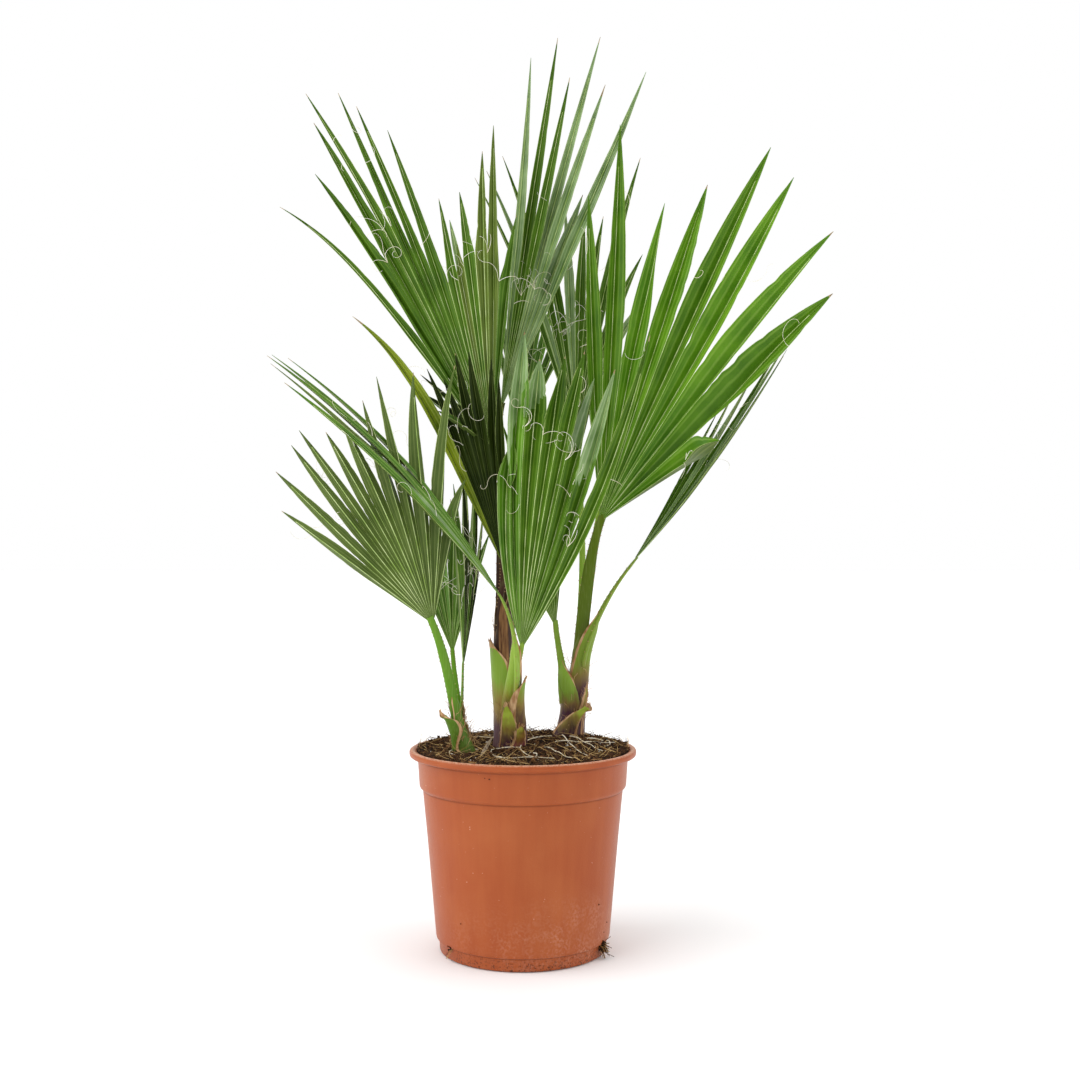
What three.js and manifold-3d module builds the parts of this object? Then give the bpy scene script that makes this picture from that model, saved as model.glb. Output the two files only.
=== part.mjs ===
// A potted fan palm: three rooted stems with their fronds, in a round nursery pot.
// Millimetres, +Z up. The origin is the middle of the pot's underside, the front is -Y.
import * as THREE from "three";
import { mergeVertices } from "three/addons/utils/BufferGeometryUtils.js";
import Module from "manifold-3d";

const wasm = await Module();
wasm.setup();

const CLEARANCE = 0.3; // gap between neighbouring pieces
const WELD = 0.02; // slivers thinner than this are closed up after a cut
const POT_SIDES = 36;
const LIP_RADIUS = 105;
const LIP_TOP = 185;
const COLLAR_RADIUS = 97.5;
const COLLAR_BOTTOM = 151;
const BODY_RADIUS = 92.5; // under the collar
const BASE_RADIUS = 80.5; // at the bottom of the tapered body
const FOOT_RADIUS = 77;
const FOOT_HEIGHT = 12;
const WALL = 2.4;
const FLOOR = 3; // height of the raised underside
const DRAIN_HOLES = 8; // through the floor
const DRAIN_RADIUS = 5;
const DRAIN_CIRCLE = 52;
const DRAIN_SLOTS = 3; // through the ledge over the foot
const SLOT_TURN = 95; // of the first slot, in degrees from +X
const SLOT = [16, 7, 3]; // radial, across and up
const SOIL_TOP = 184;
const STALK_SIDES = 6;
const BLADE_START = 6; // from a frond's hub to the inner edge of its blade
const THICKNESS = 0.0105; // of the frond's longest leaflet
const THINNEST = 2.4;
const FOLD = 0.42; // a pleat's height over its half width
const INNER_ROWS = 2; // rows of faces from the hub to the notch between two leaflets
const OUTER_ROWS = 3; // rows of faces from the notch to the tip

const LOOKS = {
  pot: { color: 0xb8633f, roughness: 0.5 },
  soil: { color: 0x3b2c20, roughness: 0.95 },
  stem: { color: 0x6f5a3c, roughness: 0.75 },
  stub: { color: 0x8a8a4a, roughness: 0.7 },
  petiole: { color: 0x5f8a36, roughness: 0.5 },
  fan: { color: 0x3c6b24, roughness: 0.5 },
};

// Each stem from the soil to its tip: foot, bend and tip, then its radius at foot, bend and tip.
const STEMS = [
  { name: "left_stem", path: [[-53, -27, 0], [-56, -30, 205], [-61, -33, 228]], radii: [8.5, 6.5, 4.5] },
  { name: "middle_stem", path: [[-12, 5, 0], [-17, 7, 240], [-20, 9, 300]], radii: [12, 9.5, 6.5] },
  { name: "right_stem", path: [[44, 52, 0], [49, 50, 225], [56, 47, 266]], radii: [12, 10.5, 7] },
];

// The cut stumps of old fronds: root, bend and tip, width at the root and at the tip.
const STUBS = [
  { name: "left_stub_1", path: [[-49, -34, 187], [-56, -41, 207], [-71, -44, 224]], width: [13, 4] },
  { name: "left_stub_2", path: [[-51, -18, 187], [-47, -13, 204], [-48, -10, 218]], width: [11, 4] },
  { name: "middle_stub_1", path: [[-24, 0, 190], [-30, -2, 240], [-29, -4, 281]], width: [15, 5] },
  { name: "middle_stub_2", path: [[-12, -9.6, 187], [-11, -13, 208], [-14, -14, 227]], width: [13, 4] },
  { name: "middle_stub_3", path: [[-5, -8.5, 187], [-2, -15, 198], [-1, -19, 208]], width: [10, 5] },
  { name: "middle_stub_4", path: [[-1, 2, 190], [4, -1, 222], [3, -3, 249]], width: [14, 5] },
  { name: "right_stub_1", path: [[40, 37, 187], [49, 33, 204], [62, 31, 222]], width: [18, 5] },
  { name: "right_stub_2", path: [[50, 38, 200], [56, 34, 222], [55, 32, 236]], width: [10, 4] },
];

// The fronds, in the order in which they claim their room. The hub is where the blade joins the
// petiole. Lean is from upright towards +X and pitch towards the front; turn is how far the face
// is turned from the front. Spread holds the angles of the blade, evenly spaced by leaflet from
// its one edge to the other, and reach holds the leaflets' lengths in the same order.
const FRONDS = [
  {
    name: "middle", n: 1, root: [-5, -7, 200], bend: [-5, -20, 262], hub: [-18, -22, 323], wide: [11, 6],
    lean: -34, pitch: 18, turn: 66, spread: [-9, 0, 9], count: 5, reach: [275, 297, 288],
    cup: 0, arch: 0.17, splay: -0.6, seed: 3,
  },
  {
    name: "middle", n: 2, root: [-9, -5, 212], bend: [1, -30, 248], hub: [-1, -38, 279], wide: [11, 7],
    lean: 9, pitch: 14, turn: -10, spread: [-25, -6, 6, 24], count: 8,
    reach: [185, 285, 265, 262, 275, 258, 270, 300], cup: 10, arch: 0.03, splay: -0.45, seed: 4,
  },
  {
    name: "left", n: 1, root: [-60, -33, 215], bend: [-66, -37, 256], hub: [-80, -45, 302], wide: [9, 5],
    lean: -24, pitch: 10, turn: 195, spread: [-42, -18, -2, 12, 30], count: 11,
    reach: [135, 235, 225, 230, 210, 195, 200, 210, 205, 195, 172], cup: 12, sag: 0.02, seed: 1,
  },
  {
    name: "left", n: 2, root: [-57, -27, 212], bend: [-54, -18, 236], hub: [-55, -12, 260], wide: [7, 4],
    lean: 2.5, pitch: -6, turn: 75, spread: [-20, 0, 20], count: 7, reach: [160, 185, 170],
    cup: 0, arch: 0.03, seed: 2,
  },
  {
    name: "right", n: 1, root: [52, 46, 250], bend: [59, 37, 320], hub: [73, 30, 395], wide: [12, 6],
    lean: 22, pitch: 6, turn: -20, spread: [-28, -13, 1, 18, 45], count: 9,
    reach: [312, 370, 300, 335, 376, 355, 335, 305, 150], cup: 30, seed: 8,
  },
  {
    name: "right", n: 2, root: [56, 47, 258], bend: [72, 38, 318], hub: [118, 20, 370], wide: [10, 4],
    lean: 42, pitch: 2, turn: -78, spread: [-20, -6, 2], count: 7,
    reach: [135, 155, 185, 210, 212, 205, 190], cup: 15, sag: -0.25, seed: 9,
  },
  {
    name: "middle", n: 4, root: [-22, 8, 288], bend: [-21, 9, 380], hub: [-29, 10, 462], wide: [9, 6],
    lean: -20, pitch: -4, turn: 10, spread: [-21, -7, -1, 8, 16, 26], count: 13,
    reach: [320, 330, 385, 400, 400, 375, 345, 260, 235, 255, 290, 320, 225],
    cup: 15, arch: 0.02, sag: 0.14, seed: 6,
  },
  {
    name: "middle", n: 5, root: [-17, 13, 286], bend: [-14, 28, 400], hub: [-22, 36, 502], wide: [9, 6],
    lean: 14, pitch: -6, turn: 0, spread: [-10, -3, 3, 12], count: 7,
    reach: [350, 385, 340, 395, 345, 225, 370], cup: 10, arch: 0.02, seed: 7,
  },
  {
    name: "middle", n: 3, root: [-20, 3, 284], bend: [-25, -3, 322], hub: [-18, -6, 354], wide: [8, 5],
    lean: -16, pitch: 4, turn: 10, spread: [-14, 0, 18], count: 7,
    reach: [262, 190, 180, 200, 200, 190, 170], arch: 0.02, seed: 5,
  },
  {
    name: "right", n: 4, root: [50, 56, 250], bend: [54, 74, 370], hub: [52, 85, 477], wide: [9, 5],
    lean: -1, pitch: -10, turn: 15, spread: [-19, 0, 20], count: 10,
    reach: [270, 275, 290, 250, 240, 230, 240, 310, 200, 170], splay: 0.5, seed: 11,
  },
  {
    name: "right", n: 3, root: [44, 52, 222], bend: [36, 51, 258], hub: [31, 48, 293], wide: [8, 4],
    lean: -4, pitch: -4, turn: 20, spread: [-18, 0, 14], count: 7, reach: [180, 210, 180],
    cup: 20, arch: 0.03, seed: 10,
  },
  {
    name: "right", n: 5, root: [54, 58, 245], bend: [60, 86, 336], hub: [78, 110, 418], wide: [9, 5],
    lean: 12, pitch: -34, turn: 0, spread: [-18, 18], count: 8, reach: [190, 230, 200],
    cup: 20, arch: 0.05, seed: 15,
  },
  {
    name: "middle", n: 7, root: [-13, 15, 278], bend: [-8, 46, 380], hub: [-4, 70, 476], wide: [9, 5],
    lean: 4, pitch: -35, turn: 5, spread: [-18, 18], count: 8, reach: [200, 235, 200],
    cup: 20, arch: 0.05, seed: 14,
  },
  {
    name: "left", n: 3, root: [-57, -24, 214], bend: [-62, -8, 250], hub: [-67, 14, 279], wide: [7, 4],
    lean: -6, pitch: -32, turn: 10, spread: [-20, 0, 20], count: 6, reach: [140, 160, 140],
    cup: 10, arch: 0.05, seed: 12,
  },
  {
    name: "middle", n: 6, root: [-14, 5, 288], bend: [-10, -4, 390], hub: [-20, -2, 459], wide: [6, 4],
    lean: -52, pitch: 8, turn: 60, spread: [-18, 18], count: 3, reach: [72, 90, 105],
    cup: 10, arch: 0.02, seed: 13,
  },
];

const vec = (a) => new THREE.Vector3(a[0], a[1], a[2]);
const rad = THREE.MathUtils.degToRad;

// A repeatable number from 0 to 1 for each seed and index.
function rand(seed, i) {
  const x = Math.sin(seed * 127.1 + i * 311.7 + 0.37) * 43758.5453;
  return x - Math.floor(x);
}

// The value at x, from 0 to 1, of evenly spaced keys.
function along(keys, x) {
  const k = x * (keys.length - 1);
  const i = Math.min(Math.floor(k), keys.length - 2);
  return keys[i] + (keys[i + 1] - keys[i]) * (k - i);
}

// A frond's blade: leaflets that spread from the hub, joined and pleated up to the notches
// between them, and free from there to their tips. All of it is measured from the hub.
class Blade {
  constructor(spec) {
    Object.assign(this, { cup: 15, arch: 0, sag: 0, splay: 0, split: [0.3, 0.5, 0.3] }, spec);
    const [lean, pitch, turn] = [rad(this.lean), rad(this.pitch), rad(this.turn)];
    this.axis = new THREE.Vector3(
      Math.sin(lean) * Math.cos(pitch), -Math.sin(pitch), Math.cos(lean) * Math.cos(pitch));
    const face = new THREE.Vector3(0, -1, 0);
    face.addScaledVector(this.axis, -this.axis.dot(face)).normalize();
    const side = new THREE.Vector3().crossVectors(this.axis, face);
    this.normal = face.multiplyScalar(Math.cos(turn)).addScaledVector(side, Math.sin(turn));
    this.side = new THREE.Vector3().crossVectors(this.axis, this.normal);
    this.widest = rad(Math.max(Math.abs(this.spread[0]), Math.abs(this.spread.at(-1))));
    this.longest = Math.max(...this.reach);
    this.thick = Math.max(THINNEST, this.longest * THICKNESS);
  }

  edge(j) {
    return rad(along(this.spread, j / this.count));
  }

  theta(i) {
    return (this.edge(i) + this.edge(i + 1)) / 2;
  }

  half(i) {
    return (this.edge(i + 1) - this.edge(i)) / 2;
  }

  length(i) {
    return along(this.reach, i / (this.count - 1)) * (1 + 0.04 * (rand(this.seed, i) - 0.5));
  }

  swing(i) {
    return 0.05 * (rand(this.seed + 50, i) - 0.5) + this.splay * Math.sin(this.theta(i));
  }

  // The leaflets on both sides of edge j, or the one there is.
  beside(j) {
    return [j - 1, j].filter((i) => i >= 0 && i < this.count);
  }

  notch(j) {
    const shortest = Math.min(...this.beside(j).map((i) => this.length(i)));
    return Math.min(this.longest * along(this.split, j / this.count), 0.8 * shortest);
  }

  direction(theta) {
    const turn = rad(this.cup) * theta / this.widest;
    return this.axis.clone().multiplyScalar(Math.cos(theta))
      .addScaledVector(this.side, Math.sin(theta) * Math.cos(turn))
      .addScaledVector(this.normal, Math.sin(theta) * Math.sin(turn));
  }

  // A point of leaflet i's middle surface, with the directions across it and out of it.
  point(i, theta, r) {
    const out = this.direction(theta);
    const across = this.direction(theta + 1e-4).sub(this.direction(theta - 1e-4));
    across.addScaledVector(out, -across.dot(out)).normalize();
    const up = new THREE.Vector3().crossVectors(across, out);
    const length = this.length(i);
    const bend = length * (r / length) ** 2.2;
    const p = out.clone().multiplyScalar(r).addScaledVector(up, -this.arch * bend)
      .addScaledVector(across, this.swing(i) * bend);
    p.z -= this.sag * Math.hypot(out.x, out.y) * bend;
    return { p, across, up };
  }

  // The ridge that leaflets j-1 and j share, at a radius before their notch.
  ridge(j, r) {
    const near = this.beside(j);
    const ends = near.map((i) => this.point(i, this.edge(j), r));
    const half = near.reduce((sum, i) => sum + this.half(i), 0) / near.length;
    const p = ends.reduce((sum, e) => sum.add(e.p), new THREE.Vector3()).divideScalar(ends.length);
    return { ...ends[0], p: p.addScaledVector(ends[0].up, FOLD * half * r) };
  }

  // The free edge of leaflet i on one side, at t from its notch to its tip.
  rim(i, sign, t, tip) {
    const j = sign < 0 ? i : i + 1;
    const start = this.notch(j);
    const own = (u) => {
      const at = this.point(i, this.theta(i), start + (tip - start) * u);
      const width = this.half(i) * start * (1 - u ** 1.5);
      at.p.addScaledVector(at.across, sign * width).addScaledVector(at.up, FOLD * width);
      return at;
    };
    const at = own(t);
    const gap = this.ridge(j, start).p.sub(own(0).p);
    at.p.addScaledVector(gap, 1 - t);
    return at;
  }

  // Left edge, middle and right edge of leaflet i at row k.
  row(i, k, grow) {
    const [left, right] = [this.notch(i), this.notch(i + 1)];
    const middle = (left + right) / 2;
    const start = BLADE_START - grow;
    const tip = this.length(i) + grow;
    const drop = FOLD * this.half(i);
    if (k <= INNER_ROWS) {
      const [a, m, b] = [left, middle, right].map((n) => start + (n - start) * k / INNER_ROWS);
      const centre = this.point(i, this.theta(i), m);
      centre.p.addScaledVector(centre.up, -drop * m);
      return [this.ridge(i, a), centre, this.ridge(i + 1, b)];
    }
    const t = (k - INNER_ROWS) / OUTER_ROWS;
    const centre = this.point(i, this.theta(i), middle + (tip - middle) * t);
    centre.p.addScaledVector(centre.up, -drop * middle * (1 - t ** 1.5));
    return t < 1 ? [this.rim(i, -1, t, tip), centre, this.rim(i, 1, t, tip)] : [centre, centre, centre];
  }

  // The closed solid, or a larger one that keeps a gap for its neighbours.
  geometry(grow = 0) {
    const corners = [];
    const tri = (...points) => {
      const apart = points.every((p, n) => p.distanceTo(points[(n + 1) % 3]) > 1e-6);
      if (apart) points.forEach((p) => corners.push(p.x, p.y, p.z));
    };
    const quad = (a, b, c, d) => {
      tri(a, b, c);
      tri(a, c, d);
    };
    const last = INNER_ROWS + OUTER_ROWS;
    for (let i = 0; i < this.count; i += 1) {
      const rows = [];
      for (let k = 0; k <= last; k += 1) {
        const t = Math.max(0, (k - INNER_ROWS) / OUTER_ROWS);
        const half = this.thick / 2 * (1 - 0.5 * t) + grow;
        rows.push(this.row(i, k, grow).map(({ p, across, up }, s) => {
          const wide = (k > INNER_ROWS || (s === 0 && i === 0) || (s === 2 && i === this.count - 1))
            && k < last ? (s - 1) * grow : 0;
          const at = p.clone().addScaledVector(across, wide);
          return { top: at.clone().addScaledVector(up, half), bottom: at.addScaledVector(up, -half) };
        }));
      }
      for (let k = 0; k < last; k += 1) {
        const [near, far] = [rows[k], rows[k + 1]];
        for (const s of [0, 1]) {
          quad(near[s].top, near[s + 1].top, far[s + 1].top, far[s].top);
          quad(near[s].bottom, far[s].bottom, far[s + 1].bottom, near[s + 1].bottom);
          if (k === 0) quad(near[s].top, near[s].bottom, near[s + 1].bottom, near[s + 1].top);
        }
        if (k >= INNER_ROWS || i === 0) quad(near[0].top, far[0].top, far[0].bottom, near[0].bottom);
        if (k >= INNER_ROWS || i === this.count - 1) {
          quad(near[2].top, near[2].bottom, far[2].bottom, far[2].top);
        }
      }
    }
    return soup(corners);
  }
}

function soup(corners) {
  const geometry = new THREE.BufferGeometry();
  geometry.setAttribute("position", new THREE.Float32BufferAttribute(corners, 3));
  return geometry;
}

// A cylinder bent along a curve. Size gives its half width and half height at t.
function stalk(curve, face, size, rings, sides = STALK_SIDES) {
  const geometry = new THREE.CylinderGeometry(1, 1, 1, sides, rings);
  const at = geometry.attributes.position;
  for (let n = 0; n < at.count; n += 1) {
    const t = Math.min(1, Math.max(0, 0.5 + at.getY(n)));
    const tangent = curve.getTangent(t);
    const up = face.clone().addScaledVector(tangent, -face.dot(tangent)).normalize();
    const side = new THREE.Vector3().crossVectors(tangent, up);
    const [w, h] = size(t);
    const p = curve.getPoint(t).addScaledVector(side, at.getX(n) * w).addScaledVector(up, at.getZ(n) * h);
    at.setXYZ(n, p.x, p.y, p.z);
  }
  return geometry;
}

function solid(geometry) {
  const bare = geometry.clone();
  bare.deleteAttribute("normal");
  bare.deleteAttribute("uv");
  const shape = mergeVertices(bare, 1e-4);
  return new wasm.Manifold(new wasm.Mesh({
    numProp: 3,
    vertProperties: new Float32Array(shape.attributes.position.array),
    triVerts: new Uint32Array(shape.index.array),
  }));
}

function shapeOf(body) {
  const mesh = body.getMesh();
  const geometry = new THREE.BufferGeometry();
  geometry.setAttribute("position", new THREE.BufferAttribute(Float32Array.from(mesh.vertProperties), 3));
  geometry.setIndex(Array.from(mesh.triVerts));
  return geometry;
}

// Finds a face that is thinner than WELD in a closed mesh: its shortest edge, or its longest edge
// where no edge is short, with the corner opposite.
function sliver(corners, faces) {
  for (const face of faces) {
    const [p, q, r] = face.map((n) => corners[n]);
    const area = new THREE.Triangle(p, q, r).getArea();
    const edges = [0, 1, 2].map((k) => ({
      a: face[k], b: face[(k + 1) % 3], far: face[(k + 2) % 3],
      size: corners[face[k]].distanceTo(corners[face[(k + 1) % 3]]),
    })).sort((e, f) => e.size - f.size);
    if (edges[0].size < WELD) return { ...edges[0], short: true };
    if (2 * area / edges[2].size < WELD / 2) return { ...edges[2], short: false };
  }
  return null;
}

// Closes up the slivers that a cut leaves. A short edge shrinks to its one end, and where a corner
// lies on its face's longest edge, that edge is turned to run from the corner to the face beyond.
function weld(geometry) {
  const at = geometry.attributes.position;
  const corners = Array.from({ length: at.count }, (_, n) => new THREE.Vector3().fromBufferAttribute(at, n));
  const index = Array.from(geometry.index.array);
  let faces = Array.from({ length: index.length / 3 }, (_, n) => index.slice(3 * n, 3 * n + 3));
  for (let tries = faces.length; tries > 0; tries -= 1) {
    const found = sliver(corners, faces);
    if (!found) break;
    const { a, b, far, short } = found;
    if (short) {
      faces = faces.map((f) => f.map((n) => (n === b ? a : n))).filter((f) => new Set(f).size === 3);
    } else {
      const beyond = faces.find((f) => f.some((n, k) => n === b && f[(k + 1) % 3] === a));
      const other = beyond.find((n) => n !== a && n !== b);
      faces = faces.filter((f) => f !== beyond && !(f.includes(a) && f.includes(b) && f.includes(far)));
      faces.push([a, other, far], [other, b, far]);
    }
  }
  return new THREE.BufferGeometry().setFromPoints(corners).setIndex(faces.flat());
}

const palm = new THREE.Group();
palm.name = "potted_fan_palm";
const claimed = []; // the grown solids of the pieces made so far, with their boxes

// Adds a piece at a place, less the room of the pieces before it; only its largest body is kept.
function add(name, kind, geometry, grown, place = [0, 0, 0]) {
  const move = (shape) => shape.clone().translate(place[0], place[1], place[2]);
  let body = solid(move(geometry));
  const whole = body.volume();
  geometry.computeBoundingBox();
  const box = geometry.boundingBox.clone().translate(vec(place));
  for (const other of claimed) {
    if (other.box.intersectsBox(box)) body = body.subtract(other.body);
  }
  const bodies = body.decompose().sort((a, b) => b.volume() - a.volume());
  body = bodies[0];
  const mesh = new THREE.Mesh(
    weld(shapeOf(body)).translate(-place[0], -place[1], -place[2]),
    new THREE.MeshStandardMaterial({ ...LOOKS[kind], metalness: 0, flatShading: true }));
  mesh.name = name;
  mesh.position.set(...place);
  palm.add(mesh);
  const big = move(grown);
  big.computeBoundingBox();
  claimed.push({ box: big.boundingBox, body: solid(big) });
  mesh.userData.kept = body.volume() / whole;
}

// The pot: a lathed wall with a rolled lip, a collar, a tapered body and a foot, with a raised
// underside and a flat boss in its middle.
const inside = [
  [101, LIP_TOP], [98.5, LIP_TOP - 1.5], [COLLAR_RADIUS - WALL, LIP_TOP - 9],
  [COLLAR_RADIUS - WALL - 2, COLLAR_BOTTOM], [BODY_RADIUS - WALL, COLLAR_BOTTOM - 5],
  [BASE_RADIUS - WALL, FOOT_HEIGHT + 3], [FOOT_RADIUS - WALL, FOOT_HEIGHT - 1],
  [FOOT_RADIUS - WALL - 2, 6],
];
const outside = [
  [0, 0], [20, 0], [22, FLOOR], [64, FLOOR], [66, 0], [FOOT_RADIUS - 1, 0], [FOOT_RADIUS, 1],
  [FOOT_RADIUS + 0.6, FOOT_HEIGHT - 1], [BASE_RADIUS - 1.5, FOOT_HEIGHT], [BASE_RADIUS, FOOT_HEIGHT + 3],
  [BODY_RADIUS, COLLAR_BOTTOM - 5], [COLLAR_RADIUS - 2, COLLAR_BOTTOM], [COLLAR_RADIUS, LIP_TOP - 10],
  [LIP_RADIUS - 1, LIP_TOP - 9], [LIP_RADIUS, LIP_TOP - 7], [LIP_RADIUS, LIP_TOP - 2.5],
  [LIP_RADIUS - 1.5, LIP_TOP],
];
const profile = (points) => points.map(([r, z]) => new THREE.Vector2(r, z));
const lathe = (points) => new THREE.LatheGeometry(profile(points), POT_SIDES).rotateX(Math.PI / 2);

let pot = solid(lathe([...outside, ...inside, [0, 6]]));
for (let k = 0; k < DRAIN_HOLES; k += 1) {
  const hole = new THREE.CylinderGeometry(DRAIN_RADIUS, DRAIN_RADIUS, 4 * FLOOR, 12).rotateX(Math.PI / 2);
  hole.translate(DRAIN_CIRCLE, 0, FLOOR).rotateZ((k + 0.5) * 2 * Math.PI / DRAIN_HOLES);
  pot = pot.subtract(solid(hole));
}
for (let k = 0; k < DRAIN_SLOTS; k += 1) {
  const slot = new THREE.BoxGeometry(...SLOT).translate(FOOT_RADIUS, 0, FOOT_HEIGHT + 0.5);
  pot = pot.subtract(solid(slot.rotateZ(rad(SLOT_TURN) + k * 2 * Math.PI / DRAIN_SLOTS)));
}
const potShape = shapeOf(pot);
add("pot", "pot", potShape, new THREE.CylinderGeometry(1, 1, 1, 4).translate(0, 0, -500));

// The soil fills the pot up to its lip, with a flat top where the stems stand.
const bed = [...inside].reverse().slice(0, 6).map(([r, z], n) => [r - 0.4, z + (n === 0 ? 0.4 : 0)]);
const soil = lathe([[0, 6.4], ...bed, [COLLAR_RADIUS - WALL - 0.6, 177], [84, 181], [74, SOIL_TOP], [0, SOIL_TOP]]);
add("soil", "soil", soil, new THREE.CylinderGeometry(1, 1, 1, 4).translate(0, 0, -500));

// Cuts a shape flat just above the soil.
function level(geometry) {
  const at = geometry.attributes.position;
  for (let n = 0; n < at.count; n += 1) at.setZ(n, Math.max(at.getZ(n), SOIL_TOP + CLEARANCE));
  return geometry;
}

// The stems stand on the soil with a flat cut. Each flares towards its root, leans and tapers.
for (const stem of STEMS) {
  const [foot, bend, tip] = stem.path.map(vec);
  foot.z = SOIL_TOP + CLEARANCE;
  const curve = new THREE.QuadraticBezierCurve3(foot, bend, tip);
  const size = (grow) => (t) => {
    const r = along(stem.radii, t) * (1 + 0.22 * Math.exp(-t * 9)) * (t > 0.97 ? 0.75 : 1) + grow;
    return [r, r];
  };
  const upright = new THREE.Vector3(0, -1, 0);
  add(stem.name, "stem", level(stalk(curve, upright, size(0), 9, 12)), stalk(curve, upright, size(CLEARANCE), 9, 12));
}

// The petioles come first where they meet a stem, then the blades, then the old stumps.
const blades = FRONDS.map((spec) => new Blade(spec));
for (const blade of blades) {
  add(`${blade.name}_fan_${blade.n}`, "fan", blade.geometry(), blade.geometry(CLEARANCE), blade.hub);
}
for (const blade of blades) {
  const [root, bend, hub] = [blade.root, blade.bend, blade.hub].map(vec);
  const reach = hub.distanceTo(bend);
  const neck = hub.clone().addScaledVector(blade.axis, -0.35 * reach);
  const end = hub.clone().addScaledVector(blade.axis, BLADE_START + 1.5);
  const curve = new THREE.CubicBezierCurve3(root, bend, neck, end);
  const [base, top] = blade.wide;
  const size = (grow) => (t) => {
    const w = top + (base - top) * (1 - t) ** 2;
    const h = Math.min(w * 0.62, 5) * (t > 0.96 ? 0.6 : 1);
    return [w / 2 + grow, h / 2 + grow];
  };
  add(`${blade.name}_petiole_${blade.n}`, "petiole",
    stalk(curve, blade.normal, size(0), 8), stalk(curve, blade.normal, size(CLEARANCE), 8));
}
for (const stub of STUBS) {
  const curve = new THREE.QuadraticBezierCurve3(...stub.path.map(vec));
  const stem = STEMS.find((s) => s.name.startsWith(stub.name.split("_")[0]));
  const out = vec(stub.path[0]).sub(vec(stem.path[0])).setZ(0).normalize();
  const size = (grow) => (t) => {
    const w = along([stub.width[0], stub.width[0] * 0.85, stub.width[1]], t);
    return [w / 2 + grow, (3.4 - 1.2 * t) / 2 + grow];
  };
  add(stub.name, "stub", level(stalk(curve, out, size(0), 5)), stalk(curve, out, size(CLEARANCE), 5));
}

export default palm;
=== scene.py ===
"""A potted fan palm in a studio: three stems of pleated fan fronds in a round nursery pot."""
import math

import bpy
import numpy as np
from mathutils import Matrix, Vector, noise


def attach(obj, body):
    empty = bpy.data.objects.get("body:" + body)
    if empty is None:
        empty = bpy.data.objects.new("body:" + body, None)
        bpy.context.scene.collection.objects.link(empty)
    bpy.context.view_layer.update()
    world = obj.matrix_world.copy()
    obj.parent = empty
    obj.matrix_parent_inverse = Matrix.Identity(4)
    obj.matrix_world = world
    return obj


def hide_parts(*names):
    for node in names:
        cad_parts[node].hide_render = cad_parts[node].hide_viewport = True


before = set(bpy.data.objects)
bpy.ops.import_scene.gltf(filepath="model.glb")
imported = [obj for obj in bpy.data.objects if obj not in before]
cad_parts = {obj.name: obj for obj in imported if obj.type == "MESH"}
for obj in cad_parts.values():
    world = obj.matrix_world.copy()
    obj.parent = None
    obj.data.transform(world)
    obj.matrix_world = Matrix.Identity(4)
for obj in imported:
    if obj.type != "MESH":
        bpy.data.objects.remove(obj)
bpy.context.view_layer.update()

MM = 0.001

# Camera, fitted to the pot's ellipses: level, with the horizon across the middle of the picture.
CAMERA_PLACE = (0.0158, -1.27, 0.3776)
LENS_MM = 45.57

# The pot, as moulded: radii and heights in millimetres.
LIP_RADIUS = 105
LIP_TOP = 185
COLLAR_RADIUS = 97.5
COLLAR_BOTTOM = 151
BODY_RADIUS = 92.5
BASE_RADIUS = 80.5
FOOT_RADIUS = 77
FOOT_HEIGHT = 12
WALL = 2.4
FLOOR = 3
DRAIN_HOLES = 8
DRAIN_RADIUS = 5
DRAIN_CIRCLE = 52
DRAIN_SLOTS = 3
SLOT_TURN = 95
SLOT = (16, 7, 3)
SOIL_TOP = 184

# What lies on the soil, by number. The spread ones lie all over it, and the rest near its edge.
CRUMBS = 6400
SPREAD_CRUMBS = 5200
FIBRES = 1800
SPREAD_FIBRES = 1500
CHIPS = 260
PERLITE_GRAINS = 170
ROOT_STEPS = 48

# Crumbs stuck to the pot, by x and height, and the strands in each drain slot.
SIDE_CRUMBS = ((-31.7, 172.1), (-27.8, 171.4), (-54, 38.6), (68.2, 52), (73.4, 23.4), (76.2, 31))
SLOT_STRANDS = ((2, 70), (1, 4), (0, 16))

# The fronds' blades: where their pleats begin, how deep the folds are as a share of a leaflet's half width,
# how far neighbouring leaflets lie apart where they overlap, and by which part of its free length a leaflet
# has reached its full width.
BLADE_START = 6
FOLD = 0.5
STAGGER = 1.3
WIDENED_BY = 0.3
INNER_ROWS = 12
OUTER_ROWS = 24

# A leaflet: its thickness, its rib and margins in millimetres and at most as shares of its half width, how
# # much each half bulges, where its dry tip begins, and how fast the painted sheen crosses it.
LEAF_THICK = 0.5
RIB_HALF = 0.42
RIB_SHARE = 0.17
RIB_PROUD = 0.5
MARGIN_WIDE = 0.3
MARGIN_SHARE = 0.09
BULGE = 0.10
DRY_FROM = 0.94
SHEEN_RUN = 16

# Mean numbers of threads to a notch and to a leaflet's margins.
NOTCH_THREADS = 0.8
MARGIN_THREADS = 0.9

# The soft light of the white surroundings. The background itself shows as plain white.
WORLD_LIGHT = 0.55

# Soft suns: name, place, apparent width in degrees, power. All point at the same place in the crown.
LAMPS = [("key", (-2.2, -0.9, 1.9), 65, 1.85), ("fill", (2.2, -0.6, 1.2), 65, 0.9),
         ("top", (0.1, 0.3, 2.4), 60, 1.1)]
LIT_PLACE = (0, 0, 0.4)

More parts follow.
